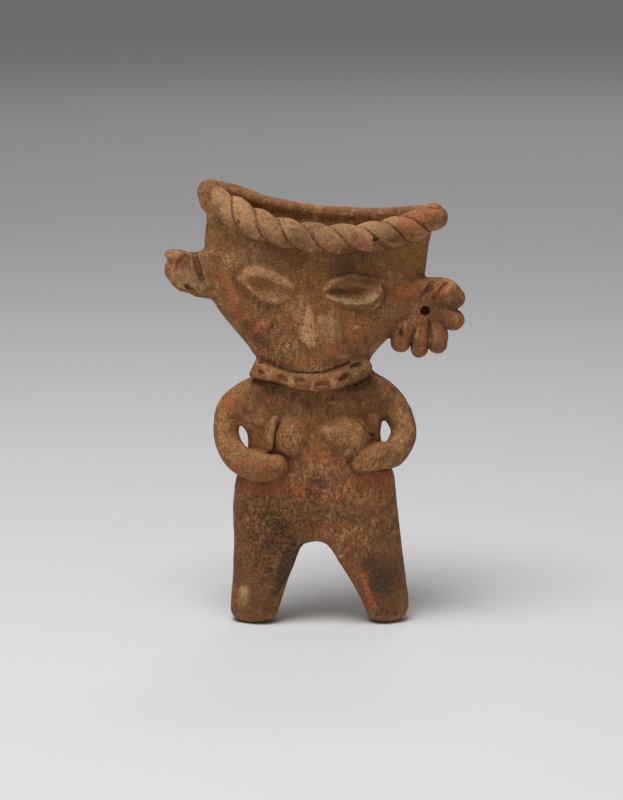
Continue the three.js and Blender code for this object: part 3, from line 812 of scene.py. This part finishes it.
def tool_marks():
    """The lines, ridges and hollows, as coils and pellets placed on the figure's surface."""
    drawn = [(points, depth) for depth, points in LINES.values()]
    drawn += [(points, -height) for height, points in RIDGES.values()]
    paths = [smooth_path(points, 4 * len(points)) for points, _ in drawn]
    paths += [[(*at, 0)] for at, _, _ in HOLLOWS.values()]
    x, z, radius = np.vstack(paths).T
    beads = np.column_stack([from_front(x, z), radius])
    parts = np.split(beads, np.cumsum([len(path) for path in paths])[:-1])
    for part, (_, depth) in zip(parts, drawn):
        part[:, 1] += depth - np.sign(depth) * part[:, 3]
    placed = zip(parts[len(drawn) :], HOLLOWS.values())
    hollows = [(part[0, :3], half, turn) for part, (_, half, turn) in placed]
    return parts[: len(LINES)], parts[len(LINES) : len(drawn)], hollows


TOOL_LINES, TOOL_RIDGES, TOOL_HOLLOWS = tool_marks()


def figure(p):
    """The whole figure, as a distance from each point to its surface, negative inside it."""
    whole = unmarked(p)
    for ridge in TOOL_RIDGES:
        whole = joined(whole, coil(p, ridge, len(ridge)), BLENDS["ridge"])
    for hollow in TOOL_HOLLOWS:
        whole = pressed(whole, pellet(p, *hollow), BLENDS["tool"])
    for line in TOOL_LINES:
        whole = pressed(whole, coil(p, line, len(line)), BLENDS["tool"])
    return whole


def in_parts(distance, p):
    """A distance for many points, worked out a part at a time to save memory."""
    most = 200000
    return np.concatenate([distance(part) for part in np.array_split(p, len(p) // most + 1)])


# The corners of a grid's cell, and the numbers of those on each of its six sides
CORNERS = list(np.ndindex(2, 2, 2))
SIDES = [[n for n in range(8) if CORNERS[n][axis] == side] for axis in range(3) for side in (0, 1)]


def stretched(grid, ratio):
    """A grid with each value repeated along every axis."""
    for axis in range(3):
        grid = np.repeat(grid, ratio, axis)
    return grid


def sampled(distance, low, high, step):
    """Distances on a grid: exact close to the surface, and with only the right sign further away."""
    ratio = 4
    wide = step * ratio
    cells = np.ceil((high - low) / wide).astype(int)
    coarse_axes = [low[k] + wide * np.arange(cells[k] + 1) for k in range(3)]
    grid = np.stack(np.meshgrid(*coarse_axes, indexing="ij"), -1).reshape(-1, 3)
    coarse = in_parts(distance, grid).reshape(cells + 1)
    close = 1.1 * wide
    near = np.abs(coarse) < close
    crossed = np.zeros(cells, bool)
    for i, j, k in CORNERS:
        crossed |= near[i : cells[0] + i, j : cells[1] + j, k : cells[2] + k]
    fine = stretched(coarse, ratio)[: 1 - ratio, : 1 - ratio, : 1 - ratio]
    fine = np.where(fine < 0, -close, close)
    exact = np.zeros(fine.shape, bool)
    blocks = stretched(crossed, ratio)
    for i, j, k in CORNERS:
        exact[i : blocks.shape[0] + i, j : blocks.shape[1] + j, k : blocks.shape[2] + k] |= blocks
    fine[exact] = in_parts(distance, low + step * np.argwhere(exact))
    return fine


def crossed_cells(inside):
    """The cells of a grid that the surface crosses, and which of each one's corners are inside."""
    i, j, k = np.array(inside.shape) - 1
    at_corner = [inside[a : i + a, b : j + b, c : k + c] for a, b, c in CORNERS]
    count = sum(corner.astype(np.uint8) for corner in at_corner)
    cells = np.argwhere((count > 0) & (count < 8))
    return cells, np.stack([corner[tuple(cells.T)] for corner in at_corner], 1)


def untangled(values):
    """Grid distances, with a few places taken inside, so that no two sheets of the surface touch.

    Sheets touch where two opposite corners of a cell, or of one of its sides, are inside and the others
    outside, or the other way round. The outside corner that is closest to the surface is then filled.
    """
    just_inside = -1e-3
    values = values.copy()
    tangled = True
    while tangled:
        tangled = False
        cells, flags = crossed_cells(values < 0)
        total = flags.sum(1)
        patterns = []
        for side in SIDES:
            a, b, c, d = flags[:, side].T
            patterns.append(((a == d) & (b == c) & (a != b), side))
        for n in range(4):
            opposite = (flags[:, n] == flags[:, 7 - n]) & (total == np.where(flags[:, n], 2, 6))
            patterns.append((opposite, range(8)))
        for found, corners in patterns:
            for cell in cells[found]:
                around = [tuple(cell + CORNERS[n]) for n in corners]
                outside = [place for place in around if values[place] >= 0]
                if len(outside) > 1:
                    values[min(outside, key=lambda place: values[place])] = just_inside
                    tangled = True
    return values


def surface_net(values, low, step):
    """A closed mesh of quads where the values change sign, with a vertex in each cell that they cross."""
    inside = values < 0
    cells, _ = crossed_cells(inside)
    number = np.full(inside.shape, -1, np.int64)
    number[tuple(cells.T)] = np.arange(len(cells))
    at_corner = {corner: values[tuple((cells + corner).T)] for corner in CORNERS}
    total = np.zeros((len(cells), 3))
    crossings = np.zeros(len(cells))
    for first in CORNERS:
        for axis in range(3):
            if first[axis]:
                continue
            a, b = at_corner[first], at_corner[tuple(1 if k == axis else first[k] for k in range(3))]
            cut = (a < 0) != (b < 0)
            point = np.tile(np.array(first, float), (len(cells), 1))
            point[:, axis] += np.where(cut, a / np.where(cut, a - b, 1), 0)
            total += point * cut[:, None]
            crossings += cut
    vertices = low + step * (cells + total / crossings[:, None])
    quads = []
    for axis in range(3):
        b, c = (axis + 1) % 3, (axis + 2) % 3
        here = [slice(1, -1)] * 3
        here[axis] = slice(0, -1)
        there = list(here)
        there[axis] = slice(1, None)
        low_in, high_in = inside[tuple(here)], inside[tuple(there)]
        start = np.array([1, 1, 1])
        start[axis] = 0
        for solid_below in (True, False):
            edge = np.argwhere(low_in & ~high_in if solid_below else ~low_in & high_in) + start
            ring = []
            for db, dc in ((1, 1), (0, 1), (0, 0), (1, 0)):
                cell = edge.copy()
                cell[:, b] -= db
                cell[:, c] -= dc
                ring.append(number[tuple(cell.T)])
            quads.append(np.column_stack(ring if solid_below else ring[::-1]))
    return vertices, np.vstack(quads)


def vertex_normals(vertices, faces):
    """Unit normals, from the triangles or quads around each vertex."""
    across = vertices[faces[:, -1]] - vertices[faces[:, 1]]
    directions = np.cross(vertices[faces[:, 2]] - vertices[faces[:, 0]], across)
    normals = np.zeros_like(vertices)
    for k in range(3):
        for corner in faces.T:
            normals[:, k] += np.bincount(corner, directions[:, k], len(vertices))
    return normals / np.maximum(np.linalg.norm(normals, axis=1), 1e-12)[:, None]


def evened(vertices, quads, share):
    """Each vertex moved a share of the way to the middle of its neighbours."""
    ends = np.vstack([quads[:, [0, 1]], quads[:, [1, 2]], quads[:, [2, 3]], quads[:, [3, 0]]])
    count = np.bincount(ends[:, 0], minlength=len(vertices))
    middle = [np.bincount(ends[:, 0], vertices[ends[:, 1], k], len(vertices)) / count for k in range(3)]
    return vertices + share * (np.column_stack(middle) - vertices)


def settled(distance, vertices, normals):
    """Vertices moved along their normals onto the surface."""
    small, least_rise, furthest = 0.02, 0.4, 0.3
    here = in_parts(distance, vertices)
    rise = (in_parts(distance, vertices + small * normals) - here) / small
    move = np.clip(here / np.maximum(rise, least_rise), -furthest, furthest)
    return vertices - move[:, None] * normals


# The random values behind the dents. Dents and crumbs are given as (size, share of the unevenness), and
# each set is sunk by a further share, which keeps most of it under the modelled surface.
LATTICE = np.random.default_rng(5).uniform(-1, 1, (24, 24, 24))
DENTS = [(9, 1), (3.6, 0.6), (1.2, 0.35)]
CRUMBS = [(1.7, 0.7), (1, 0.5)]
DENTS_SUNK = 0.8
CRUMBS_SUNK = 0.4


def waver(p, size):
    """Smooth random values between -1 and 1, whose bumps and dents are about `size` across."""
    beyond = 50
    q = p / size + beyond
    i = np.floor(q).astype(int)
    t = q - i
    t = t * t * (3 - 2 * t)
    found = np.zeros(len(p))
    for shift in CORNERS:
        weight = np.prod(np.where(shift, t, 1 - t), axis=1)
        found += weight * LATTICE[tuple(((i + shift) % len(LATTICE)).T)]
    return found


def stained(points, normals, marks, strokes):
    """How strongly each point is covered by marks and strokes, which fade out towards their edges."""
    x, y, z = points.T
    facing = np.clip(0.6 - 2 * normals[:, 1], 0, 1)
    forward = np.interp(y, (1, 3), (1, 0.2))
    cover = np.zeros(len(points))
    for middle_x, middle_z, half_width, half_height, turn, strength in marks:
        c, s = math.cos(math.radians(turn)), math.sin(math.radians(turn))
        along = (c * (x - middle_x) - s * (z - middle_z)) / half_width
        across = (s * (x - middle_x) + c * (z - middle_z)) / half_height
        cover = np.maximum(cover, strength * np.clip(MARK_FADE - np.hypot(along, across), 0, 1))
    for strength, path in strokes:
        for (ax, az, start), (bx, bz, end) in zip(path, path[1:]):
            length = (bx - ax) ** 2 + (bz - az) ** 2
            t = np.clip(((x - ax) * (bx - ax) + (z - az) * (bz - az)) / length, 0, 1)
            off = np.hypot(x - ax - t * (bx - ax), z - az - t * (bz - az)) / (start + t * (end - start))
            cover = np.maximum(cover, strength * np.clip(MARK_FADE - off, 0, 1))
    return cover * (facing * forward)


def dents(points, normals, height):
    """How far each point is raised by dents up to about `height`: crumbly on the belly, none on the soles."""
    sole, fade = 0.3, 2
    crumbly = stained(points, normals, STAINS["specks"], ())
    raised = sum(share * waver(points, size) for size, share in DENTS) - DENTS_SUNK
    raised += crumbly * (sum(share * waver(points, size) for size, share in CRUMBS) - CRUMBS_SUNK)
    return raised * (np.clip((points[:, 2] - sole) / fade, 0, 1) * height / MM)


def surface_values(points, normals):
    """Values over the surface that the finish uses: how sheltered or raised each place is, for painted shade
    and highlights, and its stains, some of which are painted shade or highlights.
    """
    gap, overhang, thickness = 0.6, 2.6, 0.9
    values = {
        # How deep in a crease each place lies, for painted shade
        "crevice": 1 - in_parts(figure, points + gap * normals) / gap,
        # How far each place lies under an overhang, for painted shade
        "shelter": 1 - in_parts(figure, points + overhang * normals) / overhang,
        # How raised each place is, for lighter edges that are partly wear and partly painted highlight
        "ridge": 1 + in_parts(figure, points - thickness * normals) / thickness,
        # How much each place faces up, for painted light on the tops
        "top": np.clip(1.6 * normals[:, 2] - 0.6, 0, 1),
        "behind": np.clip(0.3 + 1.4 * normals[:, 1], 0, 1),
    }
    for colour in dict.fromkeys([*STAINS, *STROKES]):
        values[colour] = stained(points, normals, STAINS.get(colour, ()), STROKES.get(colour, ()))
    return values


def largest_piece(vertices, triangles):
    """A mesh without the loose specks beside its largest piece."""
    label = np.arange(len(vertices))
    while True:
        spread = label.copy()
        np.minimum.at(spread, triangles.ravel(), np.repeat(label[triangles].min(1), 3))
        spread = spread[spread]
        if (spread == label).all():
            break
        label = spread
    kept = label == np.bincount(label).argmax()
    number = np.cumsum(kept) - 1
    return vertices[kept], number[triangles[kept[triangles[:, 0]]]]


def new_mesh(name, vertices, faces):
    """A new object in the scene with a smooth-shaded mesh."""
    mesh = bpy.data.meshes.new(name)
    mesh.from_pydata(vertices, [], faces)
    mesh.shade_smooth()
    piece = bpy.data.objects.new(name, mesh)
    bpy.context.scene.collection.objects.link(piece)
    return piece


def thinned(vertices, quads, triangles):
    """The same surface with about so many triangles, fewer where it's flat: vertices and triangles."""
    piece = new_mesh("unthinned", vertices, quads)
    modifier = piece.modifiers.new("Decimate", "DECIMATE")
    modifier.ratio = min(1, triangles / (2 * len(quads)))
    modifier.use_collapse_triangulate = True
    mesh = bpy.data.meshes.new_from_object(piece.evaluated_get(bpy.context.evaluated_depsgraph_get()))
    bpy.data.meshes.remove(piece.data)
    places = np.empty(3 * len(mesh.vertices))
    mesh.vertices.foreach_get("co", places)
    corners = np.empty(3 * len(mesh.polygons), np.int32)
    mesh.polygons.foreach_get("vertices", corners)
    bpy.data.meshes.remove(mesh)
    return places.reshape(-1, 3), corners.reshape(-1, 3)


class Socket:
    """A node's output, which can be calculated with: each step adds the node that does it."""

    def __init__(self, tree, output):
        self.tree = tree
        self.output = output

    def node(self, kind, settings, values, result=0):
        """Adds a node: first its settings, then the value or link of each of its sockets."""
        node = self.tree.nodes.new(kind)
        for name, value in settings.items():
            setattr(node, name, value)
        for name, value in values.items():
            if isinstance(value, Socket):
                self.tree.links.new(value.output, node.inputs[name])
            else:
                node.inputs[name].default_value = value
        return Socket(self.tree, node.outputs[result])

    def calculated(self, operation, *values):
        return self.node("ShaderNodeMath", {"operation": operation}, dict(enumerate(values)))

    def __add__(self, other):
        return self.calculated("ADD", self, other)

    def __sub__(self, other):
        return self.calculated("SUBTRACT", self, other)

    def __rsub__(self, other):
        return self.calculated("SUBTRACT", other, self)

    def __mul__(self, other):
        return self.calculated("MULTIPLY", self, other)

    __radd__ = __add__
    __rmul__ = __mul__

    def between(self, low, high):
        """0 up to `low`, 1 from `high`, and a soft step between them."""
        steps = {"Value": self, "From Min": low, "From Max": high}
        return self.node("ShaderNodeMapRange", {"interpolation_type": "SMOOTHSTEP"}, steps)

    def mixed(self, under, over):
        """A colour that goes from `under` to `over` as this value goes from 0 to 1."""
        return self.node("ShaderNodeMix", {"data_type": "RGBA"}, {0: self, 6: under, 7: over}, 2)

    def scaled(self, share):
        """A colour or vector times a value."""
        return self.node("ShaderNodeVectorMath", {"operation": "SCALE"}, {0: self, "Scale": share})

    def noise(self, size, detail=3, roughness=0.55, distortion=0):
        """Cloudy values about 0.5 at this place, whose clouds are about `size` millimetres across."""
        values = {
            "Vector": self,
            "Scale": 1 / (size * MM),
            "Detail": detail,
            "Roughness": roughness,
            "Distortion": distortion,
        }
        return self.node("ShaderNodeTexNoise", {}, values)

    def dots(self, spacing):
        """The distance to the closest of many random dots at this place, where 1 is their spacing."""
        return self.node("ShaderNodeTexVoronoi", {}, {"Vector": self, "Scale": 1 / (spacing * MM)})

    def attribute(self, name):
        """A value that was worked out for the surface."""
        return self.node("ShaderNodeAttribute", {"attribute_name": name}, {}, "Fac")


class FigureShape(bpy.types.PropertyGroup):
    mesh_step: FloatProperty(
        name="Mesh step", description="Spacing of the modelled surface", default=0.2 * MM, unit="LENGTH"
    )
    triangles: IntProperty(
        name="Triangles", description="In the finished mesh, with the most where it bends", default=190000
    )
    unevenness: FloatProperty(
        name="Unevenness", description="Height of the dents left by fingers", default=0.16 * MM, unit="LENGTH"
    )


def colour_property(name, description, colour):
    return FloatVectorProperty(name=name, description=description, default=colour, subtype="COLOR", size=3)


class FigureFinish(bpy.types.PropertyGroup):
    clay: colour_property("Clay", "Fired clay", (0.325, 0.139, 0.046))
    pale: colour_property("Pale clay", "Lighter clouds in the clay", (0.43, 0.203, 0.077))
    # This darker clay colour is also used for the painted shade under overhangs
    brown_and_shade: colour_property("Brown clay", "Darker clouds in the clay", (0.17, 0.074, 0.027))
    red: colour_property("Red", "Traces of red paint", (0.43, 0.122, 0.044))
    ochre: colour_property("Ochre", "Yellow-brown stains", (0.36, 0.165, 0.036))
    # This dark colour is also used for the painted shade in creases and the painted shadows under the eyelids
    # and along the inner left leg
    soot_and_shade: colour_property("Soot", "Dark clouds from the fire, and dark specks", (0.042, 0.028, 0.018))
    # This rubbed-clay colour also gives the painted light on the tops and part of the painted highlight on
    # raised edges
    tan: colour_property("Tan", "Rubbed clay", (0.58, 0.307, 0.138))
    # This pale colour also gives the painted highlights on the rims of the eyes
    cream_and_highlight: colour_property("Cream", "Worn edges and scrapes", (0.62, 0.4, 0.2))
    ash: colour_property("Ash", "Thin grey dust", (0.33, 0.222, 0.14))
    roughness: FloatProperty(name="Roughness", description="Of the smoothed clay", default=0.6, min=0, max=1)
    gloss: FloatProperty(name="Gloss", description="Strength of the shine", default=0.22, min=0, max=1)
    grain: FloatProperty(
        name="Grain", description="Height of the finest grain", default=0.14 * MM, unit="LENGTH"
    )


class FigureStage(bpy.types.PropertyGroup):
    floor_colour: colour_property("Floor", "Colour of the floor", (0.8, 0.8, 0.8))
    floor_reach: FloatProperty(
        name="Floor reach", description="From its middle to its sides", default=60, unit="LENGTH"
    )
    floor_roughness: FloatProperty(
        name="Floor roughness", description="How matt the floor is", default=0.9, min=0, max=1
    )
    room_colour: colour_property("Room", "Soft light from all round", (0.18, 0.18, 0.18))
    light_power: FloatProperty(
        name="Key light", description="Power of the soft light above", default=4.2, unit="POWER"
    )
    back_light_power: FloatProperty(
        name="Back light", description="Power of the light over the floor behind", default=4.7, unit="POWER"
    )
    lens: FloatProperty(
        name="Lens", description="Focal length of the camera", default=110 * MM, unit="LENGTH"
    )


class CLAY_OT_model(bpy.types.Operator):
    """Model the figure as one closed piece of clay"""

    bl_idname = "clay_figure.model"
    bl_label = "Model Figure"

    def execute(self, context):
        shape = context.scene.figure_shape
        step = shape.mesh_step / MM
        low, high = np.array(ROOM)
        vertices, faces = surface_net(untangled(sampled(figure, low, high, step)), low, step)
        vertices = evened(vertices, faces, share=0.3)
        vertices, faces = largest_piece(*thinned(vertices, faces, shape.triangles))
        vertices = settled(figure, vertices, vertex_normals(vertices, faces))
        normals = vertex_normals(vertices, faces)
        vertices += dents(vertices, normals, shape.unevenness)[:, None] * normals
        places = np.clip((vertices + MAKERS_ORIGIN) * MM, *cad_box)
        piece = new_mesh("clay_figure_surface", places, faces)
        for name, values in surface_values(vertices, vertex_normals(vertices, faces)).items():
            piece.data.attributes.new(name, "FLOAT", "POINT").data.foreach_set("value", values)
        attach(piece, "root")
        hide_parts("clay_figure")
        return {"FINISHED"}


class CLAY_OT_finish(bpy.types.Operator):
    """Give the figure its fired clay, with clouds, stains, specks and wear, and painted shade and highlights
    """

    bl_idname = "clay_figure.finish"
    bl_label = "Finish Clay"

    def execute(self, context):
        finish = context.scene.figure_finish
        material = bpy.data.materials.new("fired_clay")
        material.use_nodes = True
        tree = material.node_tree
        place = Socket(tree, tree.nodes.new("ShaderNodeTexCoord").outputs["Object"])
        clouds = place.noise(13, 2)
        patches = place.noise(4.6, 4, 0.65, 0.4)
        blotches = place.scaled(1.13).noise(2.2, 5, 0.7, 0.6)
        hue = place.scaled(1.21).noise(1.7, 5, 0.75)
        flecks = place.scaled(1.31).noise(0.8, 3, 0.8)
        mottle = place.scaled(0.91).noise(0.9, 5, 0.85)
        grain = place.noise(0.5, 1, 1)
        ragged = 0.6 * (patches - 0.5) + 1.1 * (blotches - 0.5) + 1.1 * (mottle - 0.5)

        def covered(name, low=0.3, high=0.75, rag=1):
            return (place.attribute(name) + rag * ragged).between(low, high)

        names = ("clay", "pale", "brown_and_shade", "red", "ochre", "soot_and_shade", "tan", "cream_and_highlight", "ash")
        colours = {name: (*getattr(finish, name), 1) for name in names}

        # The clay's own clouds and hues
        cloudy = clouds + 0.6 * patches + 0.7 * blotches
        colour = cloudy.between(0.86, 1.42).mixed(colours["brown_and_shade"], colours["clay"])
        pale = (1.2 * patches + blotches + 0.3 * mottle).between(1.2, 1.5)
        colour = (pale * 0.6).mixed(colour, colours["pale"])
        colour = ((blotches + mottle).between(1.06, 1.2) * 0.4).mixed(colour, colours["tan"])
        colour = (hue.between(0.5, 0.62) * 0.5).mixed(colour, colours["red"])
        colour = ((1 - hue).between(0.5, 0.62) * 0.3).mixed(colour, colours["ochre"])

        # What it was painted and stained with, among it painted shadow and painted light
        colour = (covered("tan", 0.15, 1.05) * 0.8).mixed(colour, colours["tan"])
        colour = (covered("ochre") * 0.6).mixed(colour, colours["ochre"])
        colour = (covered("red", 0.2, 0.7) * 0.75).mixed(colour, colours["red"])
        colour = (covered("soot_and_shade", 0.2, 1) * 0.75).mixed(colour, colours["soot_and_shade"])
        fire = (place.noise(19, 2) + 0.25 * (blotches - 0.5)).between(0.5, 0.72) * place.attribute("behind")
        colour = (fire * 0.5).mixed(colour, colours["soot_and_shade"])
        colour = (covered("streak") * 0.8).mixed(colour, colours["red"])
        colour = (covered("ash", 0.35, 0.9) * 0.5).mixed(colour, colours["ash"])

        # Lighter raised edges, partly wear and partly painted highlight, and painted light on the tops;
        # painted shade under overhangs and in creases
        wear_and_highlight = (place.attribute("ridge") + 0.8 * (blotches - 0.5)).between(0.3, 0.8)
        # Raised edges and upward-facing tops are painted lighter: partly wear, partly painted light from
        # above
        colour = (wear_and_highlight * 0.35 + 0.2 * place.attribute("top")).mixed(colour, colours["tan"])
        # Pale scrapes, and painted highlights on the rims of the eyes
        colour = (covered("cream_and_highlight", 0.3, 0.9, 0.8) * 0.6).mixed(colour, colours["cream_and_highlight"])
        # Painted shade under overhangs, in the darker clay colour
        shelter = (place.attribute("shelter") + 0.4 * (blotches - 0.5)).between(0.15, 0.8)
        colour = (shelter * 0.25).mixed(colour, colours["brown_and_shade"])
        # Painted shade in creases and corners, in the darkest colour
        crevice = (place.attribute("crevice") + 0.2 * (blotches - 0.5)).between(0.14, 0.6)
        colour = (crevice * 0.48).mixed(colour, colours["soot_and_shade"])

        # Dark specks, pits and grains of sand
        speckled = place.attribute("specks") + 0.6 * place.attribute("soot_and_shade")
        spots = flecks + 0.45 * (patches - 0.5) + 0.25 * (clouds - 0.5) + 0.09 * speckled
        spots = spots.between(0.63, 0.75)
        pits = (0.6 * blotches - 0.16 + 0.06 * speckled - place.dots(0.6)).between(0, 0.1)
        colour = (spots * 0.6 + pits * 0.45).mixed(colour, colours["soot_and_shade"])
        sand = (0.14 - place.scaled(1.07).dots(0.7)).between(0, 0.1) * mottle.between(0.45, 0.6)
        colour = (sand * 0.5).mixed(colour, colours["cream_and_highlight"])
        contrast = 1 + 0.7 * place.attribute("specks")
        colour = colour.scaled(1 + contrast * (1.3 * mottle + 1.3 * grain - 1.3))

        rough = finish.roughness + 0.2 * crevice + 0.4 * (mottle - 0.5) + 0.12 * spots
        height = 1.4 * mottle + 1.2 * blotches + 0.5 * grain - 1.2 * spots - 0.9 * pits
        bump = place.node("ShaderNodeBump", {}, {"Strength": 1, "Distance": finish.grain, "Height": height})
        shader = tree.nodes["Principled BSDF"]
        for name, socket in (("Base Color", colour), ("Roughness", rough), ("Normal", bump)):
            tree.links.new(socket.output, shader.inputs[name])
        shader.inputs["Specular IOR Level"].default_value = finish.gloss
        piece = bpy.data.objects["clay_figure_surface"]
        piece.data.materials.clear()
        piece.data.materials.append(material)
        return {"FINISHED"}


class CLAY_OT_stage(bpy.types.Operator):
    """Set the figure on a plain floor, with soft light and a camera"""

    bl_idname = "clay_figure.stage"
    bl_label = "Set Stage"

    def execute(self, context):
        scene = context.scene
        stage = scene.figure_stage
        reach = stage.floor_reach
        corners = [(-reach, -reach, 0), (reach, -reach, 0), (reach, reach, 0), (-reach, reach, 0)]
        floor = new_mesh("studio_floor", corners, [(0, 1, 2, 3)])
        material = bpy.data.materials.new("floor_paper")
        material.use_nodes = True
        shader = material.node_tree.nodes["Principled BSDF"]
        shader.inputs["Base Color"].default_value = (*stage.floor_colour, 1)
        shader.inputs["Roughness"].default_value = stage.floor_roughness
        floor.data.materials.append(material)
        world = bpy.data.worlds.new("studio_room")
        world.use_nodes = True
        world.node_tree.nodes["Background"].inputs["Color"].default_value = (*stage.room_colour, 1)
        scene.world = world
        for name, place, aim, size, power in (
            ("key_light", (-0.12, -0.23, 0.7), (0, 0, 0.05), 0.45, stage.light_power),
            ("back_light", (0.3, 1.5, 1.8), (0.3, 1.5, 0), 0.8, stage.back_light_power),
        ):
            light = bpy.data.lights.new(name, "AREA")
            light.energy = power
            light.shape = "DISK"
            light.size = size
            lamp = bpy.data.objects.new(name, light)
            lamp.location = place
            lamp.rotation_euler = (Vector(aim) - lamp.location).to_track_quat("-Z", "Y").to_euler()
            scene.collection.objects.link(lamp)
        camera_data = bpy.data.cameras.new("camera")
        camera_data.lens = stage.lens / MM
        camera = bpy.data.objects.new("camera", camera_data)
        aim = Vector(np.add(CAMERA_AIM, MAKERS_ORIGIN)) * MM
        backwards = Vector((0, -math.cos(CAMERA_PITCH), math.sin(CAMERA_PITCH)))
        camera.location = aim + CAMERA_DISTANCE * MM * backwards
        camera.rotation_euler = (math.pi / 2 - CAMERA_PITCH, 0, 0)
        scene.collection.objects.link(camera)
        scene.camera = camera
        scene.view_settings.view_transform = "Standard"
        return {"FINISHED"}


class CLAY_PT_sidebar(bpy.types.Panel):
    bl_idname = "CLAY_PT_sidebar"
    bl_label = "Clay Figure"
    bl_space_type = "VIEW_3D"
    bl_region_type = "UI"
    bl_category = "Clay Figure"

    def draw(self, context):
        for operator in OPERATORS:
            self.layout.operator(operator.bl_idname)


OPERATORS = (CLAY_OT_model, CLAY_OT_finish, CLAY_OT_stage)
CLASSES = (FigureShape, FigureFinish, FigureStage, *OPERATORS, CLAY_PT_sidebar)


def register():
    for cls in CLASSES:
        bpy.utils.register_class(cls)
    bpy.types.Scene.figure_shape = PointerProperty(type=FigureShape)
    bpy.types.Scene.figure_finish = PointerProperty(type=FigureFinish)
    bpy.types.Scene.figure_stage = PointerProperty(type=FigureStage)


def unregister():
    del bpy.types.Scene.figure_shape
    del bpy.types.Scene.figure_finish
    del bpy.types.Scene.figure_stage
    for cls in reversed(CLASSES):
        bpy.utils.unregister_class(cls)


def main():
    register()
    bpy.ops.clay_figure.model()
    bpy.ops.clay_figure.finish()
    bpy.ops.clay_figure.stage()


if __name__ == "__main__":
    main()
